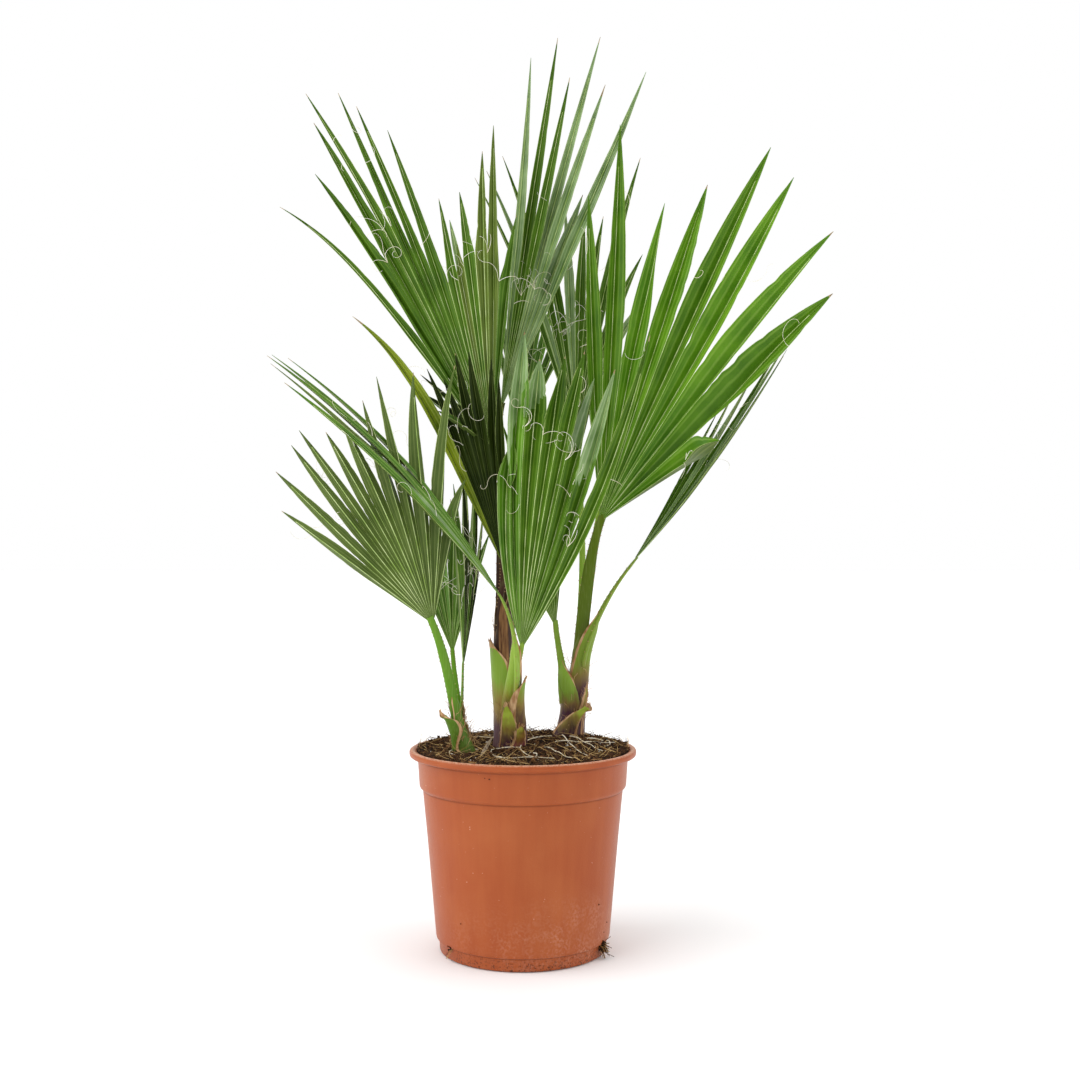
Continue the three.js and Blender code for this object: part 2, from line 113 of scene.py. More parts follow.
FRONDS = [
    dict(name="middle", n=1, root=(-6, -5, 200), knee=(-6, -8, 235), bend=(0, -46, 262),
         hub=(-17.8, -30, 323.4), wide=(10, 11, 11.5, 11.5, 9, 4), sheath=294, face=-12, dry=(1, 2),
         lean=-34, pitch=16.5, turn=66, spread=(-9, 0, 9), count=5, reach=(275, 297, 288),
         cup=0, arch=0.17, splay=-0.6, seed=3, leaf="lined",
         stalk="bright", broad=1.35, split=(0.3, 0.4, 0.3), second="sage", odd=(1,), threads=0.7),
    dict(name="middle", n=2, root=(-9, -3, 212), bend=(-9, -19, 248), hub=(-1.1, -29, 278.2), wide=(6, 4.5),
         lean=9, pitch=14, turn=-10, spread=(-25, -6, 6, 24), count=8,
         reach=(185, 285, 265, 262, 275, 258, 270, 300), cup=10, arch=0.03, splay=-0.45, seed=4, leaf="lined",
         stalk="purple", split=(0.5, 0.64, 0.68, 0.66, 0.64, 0.6, 0.5, 0.36, 0.36), second="deep",
         threads=1.3, sheen=(1, 2, 5, 6)),
    dict(name="left", n=1, root=(-60, -33, 215), bend=(-66, -37, 256), hub=(-80, -45, 302),
         wide=(9, 9, 9, 8.8, 8.6, 6.6),
         lean=-24, pitch=10, turn=195, spread=(-42, -18, -2, 12, 30), count=11,
         reach=(135, 235, 225, 230, 210, 195, 200, 210, 205, 195, 172), cup=12, sag=0.02, seed=1,
         leaf="olive", stalk="green", face=62, second="sage", odd=(9, 10),
         bow={0: -0.06, 1: -0.04, 2: -0.03}),
    dict(name="left", n=2, root=(-57, -27, 212), bend=(-54, -18, 236), hub=(-55, -12, 260), wide=(7, 4),
         lean=2.5, pitch=-6, turn=75, spread=(-20, 0, 20), count=7, reach=(160, 185, 170),
         # Its odd leaflets take the dark skin, which is painted shade.
         cup=0, arch=0.03, seed=2, leaf="deep", second="dark", odd=(2, 3, 5, 6),
         stalk="green", threads=2.4),
    dict(name="right", n=1, root=(52, 50, 250), bend=(59, 42, 320), hub=(73, 30, 395),
         wide=(13.5, 13.5, 13.5, 13.3, 12.5, 8),
         lean=22, pitch=6, turn=-20, spread=(-28, -13, 1, 18, 45), count=9,
         reach=(312, 370, 300, 335, 376, 355, 335, 305, 150), cup=30, seed=8, leaf="fresh",
         stalk="shaded", threads=0.7, bow={6: 0.02, 7: 0.03, 8: 0.05}),
    dict(name="right", n=2, root=(56, 42, 258), bend=(60, 34, 292), hub=(103, 24, 356),
         wide=(14.5, 14.5, 13, 11, 9, 5.5), sheath=310, face=18, dry=(2, 1),
         lean=42, pitch=2, turn=-78, spread=(-20, -6, 2), count=7,
         reach=(155, 175, 205, 230, 232, 225, 210), cup=15, sag=-0.25, seed=9, leaf="sage",
         stalk="late", threads=0.7),
    dict(name="middle", n=4, root=(-22, 8, 288), bend=(-21, 9, 380), hub=(-29, 10, 462), wide=(9, 6),
         lean=-20, pitch=-4, turn=10, spread=(-17.5, -6.5, -1, 8, 16, 26), count=13, bow={0: -0.075},
         reach=(322, 335, 385, 400, 400, 375, 345, 260, 235, 255, 290, 320, 225),
         cup=15, arch=0.02, sag=0.14, seed=6, leaf="deep", stalk="brown", broad=0.74,
         split=(0.3, 0.3, 0.52, 0.6, 0.6, 0.5, 0.46, 0.42, 0.42, 0.45, 0.47, 0.47, 0.4, 0.3),
         second="olive", odd=(8, 10, 11), sheen=(8,)),
    dict(name="middle", n=5, root=(-17, 13, 286), bend=(-14, 28, 400), hub=(-22, 36, 502), wide=(9, 6),
         lean=14, pitch=-6, turn=0, spread=(-10, -3, 3, 12), count=7,
         reach=(350, 385, 340, 395, 345, 225, 370), cup=10, arch=0.02, seed=7, leaf="sage",
         stalk="brown", broad=1.9, split=(0.24, 0.32, 0.24), threads=1.3),
    dict(name="middle", n=3, root=(-20, 3, 284), bend=(-25, -3, 322), hub=(-18, -6, 354), wide=(8, 5),
         lean=-16, pitch=4, turn=10, spread=(-12, -4.5, -1, 3, 7.5, 12.5, 18), count=7,
         bow={0: -0.108},
         reach=(262, 190, 180, 200, 200, 190, 170), arch=0.02, seed=5, leaf="dark",
         stalk="brown", broad=1.35, threads=0.7, second="yellow", odd=(0,)),
    dict(name="right", n=4, root=(50, 56, 250), bend=(65, 76, 370), hub=(52, 85, 477), wide=(8, 5),
         lean=-1, pitch=-10, turn=15, spread=(-19, 0, 20), count=10,
         reach=(270, 275, 290, 250, 240, 230, 240, 310, 200, 170), splay=0.5, seed=11, leaf="deep",
         stalk="purple", broad=1.3, split=(0.28, 0.4, 0.28), threads=1.2, second="sage"),
    dict(name="right", n=3, root=(43, 43, 222), bend=(37, 42, 258), hub=(31, 48, 293),
         wide=(18, 17, 13.5, 8, 6.3, 5.5), sheath=262, face=-15, dry=(1, 2),
         lean=-4, pitch=-4, turn=20, spread=(-32, -10, 10), count=7, reach=(180, 210, 180),
         cup=20, arch=0.03, seed=10, leaf="deep",
         stalk="early"),
    dict(name="right", n=5, root=(54, 58, 245), bend=(60, 86, 336), hub=(78, 110, 418), wide=(9, 5),
         lean=12, pitch=-34, turn=0, spread=(-18, 18), count=8, reach=(190, 230, 200),
         cup=20, arch=0.05, seed=15, leaf="fresh",
         stalk="purple"),
    dict(name="middle", n=7, root=(-13, 15, 278), bend=(-8, 46, 380), hub=(-4, 70, 476), wide=(9, 5),
         lean=4, pitch=-35, turn=5, spread=(-18, 18), count=8, reach=(200, 235, 200),
         cup=20, arch=0.05, seed=14, leaf="deep",
         stalk="brown"),
    dict(name="left", n=3, root=(-57, -24, 214), bend=(-62, -10, 246), hub=(-66, 10, 271), wide=(7, 4),
         lean=-6, pitch=-32, turn=10, spread=(-20, 0, 20), count=6, reach=(140, 160, 140),
         cup=10, arch=0.05, seed=12, leaf="lined",
         stalk="green", threads=1.6),
    dict(name="middle", n=6, root=(-14, 5, 288), bend=(-10, -4, 390), hub=(-20, -2, 459), wide=(6, 4),
         lean=-52, pitch=8, turn=60, spread=(-18, 18), count=3, reach=(72, 90, 105),
         cup=10, arch=0.02, seed=13, leaf="dark",
         stalk="brown"),
]

STEMS = [
    dict(name="left_stem", path=((-53, -27, 184.3), (-56, -30, 205), (-61, -33, 228)), radii=(8.5, 6.5, 4.5)),
    dict(name="middle_stem", path=((-12, 5, 184.3), (-17, 7, 240), (-20, 9, 300)), radii=(12, 9.5, 6.5)),
    dict(name="right_stem", path=((44, 52, 184.3), (49, 50, 225), (56, 47, 266)), radii=(12, 10.5, 7)),
]

# The stubs' sheets: heights of foot and tip, then keys from foot to tip for the two margins, in degrees
# from the front, for how proud of the stem they stand, and for how far their centre has left the
# stem's axis in x and in y. Dry is each margin's share of 12 columns.
STUBS = [
    dict(name="left_stub_1", heights=(186, 224), left=(-110, -104, -95, -88), right=(-12, 0, 50, -34),
         proud=(1.8, 1.8, 1.4, 0.6), lean=((0, -2, -9), (0, -3, -8)), dry=(1, 2), skin="green"),
    dict(name="left_stub_2", heights=(186, 217), left=(110, 115, 128, 146), right=(205, 195, 180, 164),
         proud=(1.4, 1.8, 3.0, 5.0), lean=((0, 0), (0, 0)), dry=(1, 1), skin="green"),
    dict(name="middle_stub_1", heights=(186, 284), left=(-160, -150, -128, -92), right=(2, 14, 30, -40),
         proud=(2.2, 2.4, 3.6, 5.4), lean=((0, 0), (0, 0)), dry=(1, 1), skin="purple"),
    dict(name="middle_stub_2", heights=(185, 229), left=(-36, -31, -28, -24), right=(17, 36, 34, 20),
         proud=(3.4, 2.8, 0.8, -4.0), lean=((0, 0.3, 1), (0, -9, -25)), dry=(1, 1), skin="stump"),
    dict(name="middle_stub_3", heights=(183, 208), left=(-12, 4, 2, -20), right=(50, 52, 50, 50),
         proud=(4.2, 4.4, 2.0, -5.5), lean=((0, 3, 11), (0, -5, -18)), dry=(2, 1), skin="ruddy"),
    dict(name="middle_stub_4", heights=(186, 252), left=(-30, -26, -14, 48), right=(150, 140, 125, 116),
         proud=(2.2, 1.6, 0.8, 1.6), lean=((0, 4, 6.5, 10), (0, -8, -19, -24)), dry=(3, 1), skin="purple"),
    dict(name="right_stub_1", heights=(185, 222), left=(-84, -72, -50, -40), right=(27, 26, 24, 40),
         proud=(3.4, 2.8, 0.6, -5.2), lean=((-2, 1.5, 13), (0, -5, -16)), dry=(2, 1), skin="stump"),
    dict(name="right_stub_2", heights=(208, 238), left=(18, 20, 22, 26), right=(56, 52, 48, 50),
         proud=(2.6, 3.4, 3.4, 0.0), lean=((0, 1, 3), (-3, -6, -9)), dry=(4, 3), skin="purple"),
]

# The fibrous rest of an old leaf base, between the middle stem's stub and its front petiole.
OLD_SHEATH = dict(heights=(236, 324), left=(-26, -18, -14, 4), right=(26, 28, 30, 16),
                  proud=(1.0, 2.2, 5.0, 6.0), lean=((0, 0), (0, 0)))


def rand(seed, i):
    """A repeatable number from 0 to 1."""
    x = math.sin(seed * 127.1 + i * 311.7 + 0.37) * 43758.5453
    return x - math.floor(x)


def along(keys, x):
    """The value at x, from 0 to 1, of evenly spaced keys."""
    k = x * (len(keys) - 1)
    i = min(int(k), len(keys) - 2)
    return keys[i] + (keys[i + 1] - keys[i]) * (k - i)


def through(keys, x):
    """The value at x, from 0 to 1, of the smooth curve through evenly spaced keys."""
    return np.polyval(np.polyfit(np.linspace(0, 1, len(keys)), keys, len(keys) - 1), x)


def unit(v):
    return v / np.linalg.norm(v)


# Materials

def colour(hexcode):
    """An sRGB hex value as linear RGBA."""
    parts = [int(hexcode[i:i + 2], 16) / 255 for i in (1, 3, 5)]
    return tuple(c / 12.92 if c <= 0.04045 else ((c + 0.055) / 1.055) ** 2.4 for c in parts) + (1.0,)


def put(tree, kind, inputs=None, stops=(), out=None, **settings):
    """Adds a node with its settings, its inputs as values or as links from sockets, and a ramp's stops
    as hex colours or greys. It gives the output that out names, or else the first one."""
    made = tree.nodes.new("ShaderNode" + kind)
    for name, value in settings.items():
        setattr(made, name, value)
    for key, value in (inputs or {}).items():
        socket = [s for n, s in enumerate(made.inputs) if s.enabled and key in (n, s.name)][0]
        if isinstance(value, bpy.types.NodeSocket):
            tree.links.new(value, socket)
        else:
            socket.default_value = value
    if stops:
        elements = made.color_ramp.elements
        while len(elements) < len(stops):
            elements.new(0.5)
        for element, (place, value) in zip(elements, stops):
            element.position = place
            element.color = colour(value) if isinstance(value, str) else (value, value, value, 1)
    return [s for s in made.outputs if s.enabled and out in (None, s.name)][0]


def mottle(tree, source, scale, detail=3.0, stretch=(1, 1, 1)):
    """Mottling over a stretched place, with its scale in features to the metre."""
    place = put(tree, "Mapping", {"Vector": source, "Scale": stretch})
    return put(tree, "TexNoise", {"Vector": place, "Scale": scale, "Detail": detail})


def layered(tree, base, *layers):
    """Colours laid over a base one after the other, each a hex value and its masks. A mask is a socket,
    a grey, or a list of a pattern and its ramp's stops. Their product is how much of the colour shows."""
    for shade, *masks in layers:
        shown = None
        for mask in masks:
            if isinstance(mask, list):
                mask = put(tree, "ValToRGB", {"Fac": mask[0]}, mask[1:])
            shown = mask if shown is None else put(tree, "Mix", {"Factor": 1.0, "A": shown, "B": mask},
                                                   data_type="RGBA", blend_type="MULTIPLY")
        base = put(tree, "Mix", {"Factor": shown, "A": base, "B": colour(shade)}, data_type="RGBA")
    return base


def finish(name, roughness, ior=1.45, shine=0.25):
    """A new material with its shader's plain values. Shine is its specular level: a rough, dusty or
    hairy skin gives back less than a clean one."""
    material = bpy.data.materials.new(name)
    material.use_nodes = True
    skin = material.node_tree.nodes["Principled BSDF"]
    skin.inputs["Roughness"].default_value = roughness
    skin.inputs["IOR"].default_value = ior
    skin.inputs["Specular IOR Level"].default_value = shine
    return material, material.node_tree, skin


def coat(tree, skin, shade, relief=None, depth_mm=0, strength=1.0):
    """Gives a shader its colour and, where it has a depth, its relief."""
    tree.links.new(shade, skin.inputs["Base Color"])
    if depth_mm:
        bump = put(tree, "Bump", {"Height": relief, "Strength": strength, "Distance": depth_mm * MM})
        tree.links.new(bump, skin.inputs["Normal"])


def leaf_skin(name, dark, light, vein, roughness, shine=0.3):
    """A living leaf's waxy skin: soft blotches 30 mm wide, and veins that run along each leaflet.

    The real veins lie about 1 mm apart. Every third one is drawn, so that they show."""
    material, tree, skin = finish(name, roughness, shine=shine)
    blotch = mottle(tree, put(tree, "TexCoord", out="Object"), 33)
    uv = put(tree, "TexCoord", out="UV")
    streak = mottle(tree, uv, 1, 2.0, (26, 0.9, 1))
    veins = put(tree, "TexWave", {"Vector": uv, "Scale": 1.6, "Distortion": 0.6, "Detail": 1.0},
                wave_type="BANDS", bands_direction="X")
    base = put(tree, "ValToRGB", {"Fac": blotch}, [(0.3, dark), (0.7, light)])
    base = layered(tree, base, (vein, [veins, (0.6, 0.0), (1.0, 0.3)]),
                   (light, [streak, (0.5, 0.0), (0.85, 0.35)]))
    coat(tree, skin, base, veins, 0.5, 0.3)
    return material


def blotched(name, dark, light, roughness, size_mm=15, bump_mm=0, stretch=(1, 1, 1)):
    """A surface of two shades in blotches of a real size, with relief of a real height."""
    material, tree, skin = finish(name, roughness)
    blotch = mottle(tree, put(tree, "TexCoord", out="Object"), 1000 / size_mm, 4.0, stretch)
    shade = put(tree, "ValToRGB", {"Fac": blotch}, [(0.35, dark), (0.65, light)])
    coat(tree, skin, shade, blotch, bump_mm)
    return material


def stalk_skin(name, foot, middle, top, foot_z, top_z):
    """A living stalk's smooth skin. It turns from its foot's colour to its top's over a height in
    millimetres, with a ragged change, and has fine fibres 1 mm apart along its length."""
    material, tree, skin = finish(name, 0.42)
    place = put(tree, "TexCoord", out="Object")
    height = put(tree, "SeparateXYZ", {"Vector": place}, out="Z")
    ragged = mottle(tree, place, 90, 3.0, (1, 1, 0.35))
    shift = put(tree, "Math", {0: ragged, 1: 0.5}, operation="SUBTRACT")
    moved = put(tree, "Math", {0: shift, 1: 45 * MM, 2: height}, operation="MULTIPLY_ADD")
    level = put(tree, "MapRange", {"Value": moved, "From Min": foot_z * MM, "From Max": top_z * MM})
    base = put(tree, "ValToRGB", {"Fac": level}, [(0.0, foot), (0.5, middle), (1.0, top)])
    fibres = mottle(tree, place, 900, 2.0, (1, 1, 0.03))
    coat(tree, skin, layered(tree, base, ("#b9c07a", [fibres, (0.5, 0.0), (0.8, 0.16)])), fibres, 0.4, 0.6)
    return material


def pot_plastic():
    """Polypropylene, injection moulded and coloured through: satin, with soft reflections, faint
    upright flow lines, paler clouds 60 mm wide, patches of dust towards the foot, specks of dust and
    soil 2 mm wide, a paler top edge of the lip that is partly dust specks and partly painted highlight,
    and painted shade: thin dark lines in the corners under the lip, under the collar and under the body."""
    material, tree, skin = finish("polypropylene, moulded terracotta", 0.36, 1.49, 0.2)
    place = put(tree, "TexCoord", out="Object")
    height = put(tree, "SeparateXYZ", {"Vector": place}, out="Z")
    across = put(tree, "SeparateXYZ", {"Vector": place}, out="X")
    right = put(tree, "MapRange", {"Value": across, "From Min": -0.03, "From Max": 0.04, "To Min": 0.25})
    flow = mottle(tree, place, 70, 3.0, (1, 1, 0.06))
    rubbed = mottle(tree, place, 420, 9.0)
    specks = mottle(tree, place, 620, 2.0)

    def rise(start, end):
        """A mask that goes from nothing at one height to full at another, in millimetres."""
        return put(tree, "MapRange", {"Value": height, "From Min": start * MM, "From Max": end * MM})

    wear_and_painted_light = [("#bb7142", [mottle(tree, place, 16, 4.0), (0.45, 0.0), (0.75, 0.25)]),
            ("#c8937a", rise(70, 30), right, [mottle(tree, place, 55), (0.35, 0.1), (0.65, 1.0)],
             [rubbed, (0.42, 0.0), (0.7, 0.6)]),
            ("#dcb69c", [mottle(tree, place, 430, 1.0), (0.78, 0.0), (0.82, 0.6)])]
    # Painted shade: thin dark lines in the corners under the lip, under the collar and under the body.
    for at in (LIP_TOP - 8.6, COLLAR_BOTTOM - 3.2, FOOT_HEIGHT - 0.4):
        wear_and_painted_light.append(("#5a2a17", rise(at + 1.1, at), rise(at - 1.1, at), (0.45, 0.45, 0.45, 1)))
    # The lip's top edge: paler as a painted highlight, with dust specks over it.
    wear_and_painted_light.append(("#d9ae92", rise(LIP_TOP - 1.6, LIP_TOP), [specks, (0.36, 0.15), (0.56, 0.85)]))
    wear_and_painted_light.append(("#43261a", rise(16, 2), [specks, (0.54, 0.0), (0.64, 0.9)]))
    base = put(tree, "ValToRGB", {"Fac": flow}, [(0.3, "#9f4d27"), (0.7, "#a8562d")])
    coat(tree, skin, layered(tree, base, *wear_and_painted_light), mottle(tree, place, 700), 0.3, 0.4)
    tree.links.new(put(tree, "MapRange", {"Value": rubbed, "To Min": 0.3, "To Max": 0.48}),
                   skin.inputs["Roughness"])
    return material


# Upper skins by the frond's age, and the duller skin under each leaf. The dark skin is painted shade: a
# darker copy of the green for fronds that stand in shade deep in the crown.
LEAVES = {key: leaf_skin(f"leaf skin, {look}", *shades) for key, look, *shades in (
    ("fresh", "fresh green", "#45760c", "#64941a", "#a4c65a", 0.36, 0.2),
    ("green", "green", "#3f6a0a", "#598616", "#96b850", 0.37, 0.2),
    ("lined", "green with pale veins", "#396409", "#5a881a", "#b8d47c", 0.34, 0.3),
    ("deep", "deep green", "#33560a", "#4e7416", "#84a43e", 0.38, 0.2),
    ("dark", "shaded green", "#182604", "#2c3a0c", "#485820", 0.4, 0.15),
    # The sage skin is also laid on leaflet folds as a painted sheen.
    ("sage", "waxy sage green", "#50722f", "#8caa6a", "#ccdab4", 0.3, 0.6),
    ("olive", "olive green", "#445a16", "#62762c", "#9aa858", 0.44, 0.2),
    ("yellow", "yellow green", "#5c7410", "#8ea022", "#c4ca6c", 0.4, 0.2),
)}
NEIGHBOUR = {"fresh": "green", "deep": "green", "dark": "deep", "sage": "deep", "olive": "green",
             "lined": "deep"}
UNDERSIDE = leaf_skin("leaf underside, dull green", "#455a1e", "#5d7330", "#929e5c", 0.5)
RIB = blotched("leaf rib, pale yellow green", "#98b658", "#d0dfa0", 0.5)
# Painted shade: a darker copy of the rib, for the fans in the dark skin.
PAINTED_SHADE_RIB = blotched("leaf rib, olive darkened as painted shade", "#3a481a", "#566428", 0.5)
MARGIN = blotched("leaf margin, drying straw", "#7f9944", "#b2bd78", 0.55, 6)
DRY_TIP = blotched("leaf tip, dried", "#8a7550", "#b8a57c", 0.7, 5)
THREAD = blotched("leaf thread, dry cream fibre", "#efe6c4", "#fdfaf0", 0.6, 8)
STALKS = {key: stalk_skin(*spec) for key, *spec in (
    ("green", "petiole skin, green", "#4c6418", "#5c8a1c", "#638f22", 186, 300),
    ("purple", "petiole skin, purple footed", "#52303a", "#927a3c", "#7fa032", 206, 246),
    ("bright", "petiole skin, bright green", "#52303a", "#8a8430", "#90b040", 214, 250),
    ("early", "petiole skin, purple at the soil", "#4e2c3a", "#80683a", "#7a9a30", 204, 232),
    ("late", "petiole skin, purple on the stem", "#4e2c36", "#7c6a30", "#78922a", 228, 266),
    ("shaded", "petiole skin, olive in the shade", "#4a2a2c", "#5e5a14", "#5a7012", 206, 300),
    ("brown", "petiole skin, brown in the shade", "#3a2320", "#452b1d", "#4c541c", 260, 440),
    ("stump", "leaf base skin, cut and greening", "#4a2a36", "#8e7a3a", "#a8bc42", 192, 216),
    ("ruddy", "leaf base skin, red footed", "#702c40", "#8a6430", "#aaac40", 187, 206),
)}
DRY_MARGIN = blotched("sheath margin, dry papery tan", "#94643a", "#d6b286", 0.75, 4, 0.5, (1, 1, 0.2))
SHEATH_FIBRE = blotched("old sheath, brown fibre", "#46291a", "#946c44", 0.8, 3, 0.8, (1, 1, 0.12))
PEAT = blotched("potting peat, moist crumb", "#150c06", "#35210f", 0.9, 5, 1.0)
PEAT_BROWN = blotched("potting peat, brown crumb", "#2f1c0e", "#573a20", 0.9, 4, 0.8)
PEAT_LIGHT = blotched("potting peat, drying crumb", "#4a2f1a", "#86603a", 0.9, 4, 0.8)
STRAW = blotched("peat fibre, straw", "#8e6a34", "#d6b67c", 0.8, 10)
TWIG = blotched("peat fibre, dark wood", "#2a180d", "#5f3e22", 0.8, 8)
PERLITE = blotched("perlite, white foamed grain", "#c9c6bd", "#f0eee8", 0.85, 1.5, 0.4)
CHIP = blotched("wood chip, weathered", "#5c4a3c", "#a8967e", 0.85, 3, 0.4, (1, 1, 0.3))
ROOT = blotched("young root, pale", "#d6c4a0", "#f6eedb", 0.6, 7)
POT = pot_plastic()


# Meshes

class Heap:
    """The shapes of one joined piece, in millimetres."""

    def __init__(self):
        self.vertices = []
        self.faces = []
        self.slots = []
        self.uvs = []

    def add(self, points, faces, slots=0, uvs=None):
        first = len(self.vertices)
        self.vertices.extend(points)
        self.faces.extend(tuple(first + n for n in face) for face in faces)
        self.slots.extend([slots] * len(faces) if isinstance(slots, int) else slots)
        self.uvs.extend(uvs if uvs is not None else [(0, 0)] * len(points))

    def loft(self, rings, slot=0):
        """Closed rings of points joined one to the next, with both ends closed. Slot may be a
        list with one material for each side of a ring."""
        count = len(rings[0])
        slot = [slot] * count if isinstance(slot, int) else slot
        points = [p for ring in rings for p in ring]
        faces, slots = [], []
        for k in range(len(rings) - 1):
            for n in range(count):
                a, b = k * count + n, k * count + (n + 1) % count
                faces.append((a, b, b + count, a + count))
                slots.append(slot[n])
        for k, turn in ((0, -1), (len(rings) - 1, 1)):
            faces.append(tuple(k * count + n for n in range(count))[::turn])
            slots.append(slot[0])
        self.add(points, faces, slots)

    def tube(self, path, radii, sides=5, slot=0):
        """A round strand along a path."""
        path = np.asarray(path, float)
        along_path = np.gradient(path, axis=0)
        side = np.cross(along_path[0], (0.31, 0.52, 0.8))
        angles = np.arange(sides) * 2 * math.pi / sides
        rings = []
        for p, run, r in zip(path, along_path, np.broadcast_to(radii, len(path))):
            run = unit(run)
            side = unit(side - run * (side @ run))
            rise = np.cross(run, side)
            rings.append([p + r * (math.cos(a) * side + math.sin(a) * rise) for a in angles])
        self.loft(rings, slot)

    def lump(self, place, size, shape, slot=0):
        """An irregular crumb: an eight-sided grain with its corners moved."""
        corners = [(1, 0, 0), (-1, 0, 0), (0, 1, 0), (0, -1, 0), (0, 0, 1), (0, 0, -1)]
        points = [np.asarray(place) + size * np.array(c) * shape[k] for k, c in enumerate(corners)]
        faces = [(0, 2, 4), (2, 1, 4), (1, 3, 4), (3, 0, 4), (2, 0, 5), (1, 2, 5), (3, 1, 5), (0, 3, 5)]
        self.add(points, faces, slot)

    def piece(self, name, materials, slot, replaces=(), smooth=60):
        """Finishes the mesh object, at the origin, riding on the plant. Edges sharper than smooth, in
        degrees, stay hard."""
        data = bpy.data.meshes.new(name)
        data.from_pydata((np.asarray(self.vertices, float) * MM).tolist(), [], self.faces)
        for material in materials:
            data.materials.append(material)
        data.polygons.foreach_set("material_index", np.asarray(self.slots, np.int32))
        layer = data.uv_layers.new(name="across_and_along")
        corners = np.empty(len(data.loops), np.int32)
        data.loops.foreach_get("vertex_index", corners)
        layer.data.foreach_set("uv", np.asarray(self.uvs, float)[corners].ravel())
        made = bpy.data.objects.new(name, data)
        bpy.context.scene.collection.objects.link(made)
        pick(made)
        bpy.ops.object.mode_set(mode="EDIT")
        bpy.ops.mesh.select_all(action="SELECT")
        bpy.ops.mesh.normals_make_consistent(inside=False)
        bpy.ops.object.mode_set(mode="OBJECT")
        bpy.ops.object.shade_smooth_by_angle(angle=math.radians(smooth))
        register(made, replaces)


def pick(piece):
    """Makes one object the only selected one."""
    bpy.ops.object.select_all(action="DESELECT")
    piece.select_set(True)
    bpy.context.view_layer.objects.active = piece


def register(piece, replaces=()):
    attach(piece, "root")
    if replaces:
        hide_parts(*replaces)


def bezier(points, t):
    """A point of a Bezier curve of any order, and its direction."""
    points = [np.asarray(p, float) for p in points]
    while len(points) > 2:
        points = [a + (b - a) * t for a, b in zip(points, points[1:])]
    return points[0] + (points[1] - points[0]) * t, unit(points[1] - points[0])


def smooth_step(x):
    x = min(1, max(0, x))
    return x * x * (3 - 2 * x)


# The pot: rings extruded up the outside, round the lip and down the inside.

OUTSIDE = [
    (20, 0), (22, 3), (64, 3), (66, 0), (FOOT_RADIUS - 1.6, 0), (FOOT_RADIUS - 0.4, 0.5), (FOOT_RADIUS, 1.6),
    (FOOT_RADIUS + 0.6, FOOT_HEIGHT - 1.2), (FOOT_RADIUS + 0.9, FOOT_HEIGHT - 0.3),
    (BASE_RADIUS - 1.6, FOOT_HEIGHT), (BASE_RADIUS - 0.5, FOOT_HEIGHT + 0.6), (BASE_RADIUS, FOOT_HEIGHT + 3),
    (BASE_RADIUS + 4, 60), (BODY_RADIUS - 4, 105), (BODY_RADIUS, COLLAR_BOTTOM - 5),
    (BODY_RADIUS - 0.1, COLLAR_BOTTOM - 3), (COLLAR_RADIUS - 2.6, COLLAR_BOTTOM - 0.9),
    (COLLAR_RADIUS - 1.9, COLLAR_BOTTOM + 0.4), (COLLAR_RADIUS - 1.7, COLLAR_BOTTOM + 2),
    (COLLAR_RADIUS - 0.2, LIP_TOP - 8.8), (COLLAR_RADIUS + 0.4, LIP_TOP - 7.4),
    (COLLAR_RADIUS + 3, LIP_TOP - 6.8), (LIP_RADIUS - 1.6, LIP_TOP - 6.5), (LIP_RADIUS - 0.4, LIP_TOP - 5.6),
    (LIP_RADIUS, LIP_TOP - 4.2), (LIP_RADIUS, LIP_TOP - 2.4), (LIP_RADIUS - 0.5, LIP_TOP - 1.1),
    (LIP_RADIUS - 1.7, LIP_TOP - 0.3), (LIP_RADIUS - 3, LIP_TOP),
]
INSIDE = [
    (101.4, LIP_TOP - 0.2), (99.2, LIP_TOP - 1), (COLLAR_RADIUS - WALL + 1, LIP_TOP - 4),
    (COLLAR_RADIUS - WALL, LIP_TOP - 9), (COLLAR_RADIUS - WALL - 2, COLLAR_BOTTOM),
    (BODY_RADIUS - WALL, COLLAR_BOTTOM - 5), (BASE_RADIUS - WALL, FOOT_HEIGHT + 3),
    (FOOT_RADIUS - WALL, FOOT_HEIGHT - 1), (FOOT_RADIUS - WALL - 2, 6),
]
POT_SIDES = 128


def ray(turn, rise=0.0):
    """The direction at an angle round the pot, in radians, with its rise."""
    return np.array((math.cos(turn), math.sin(turn), rise))


def slot_turn(k):
    return math.radians(SLOT_TURN) + k * 2 * math.pi / DRAIN_SLOTS


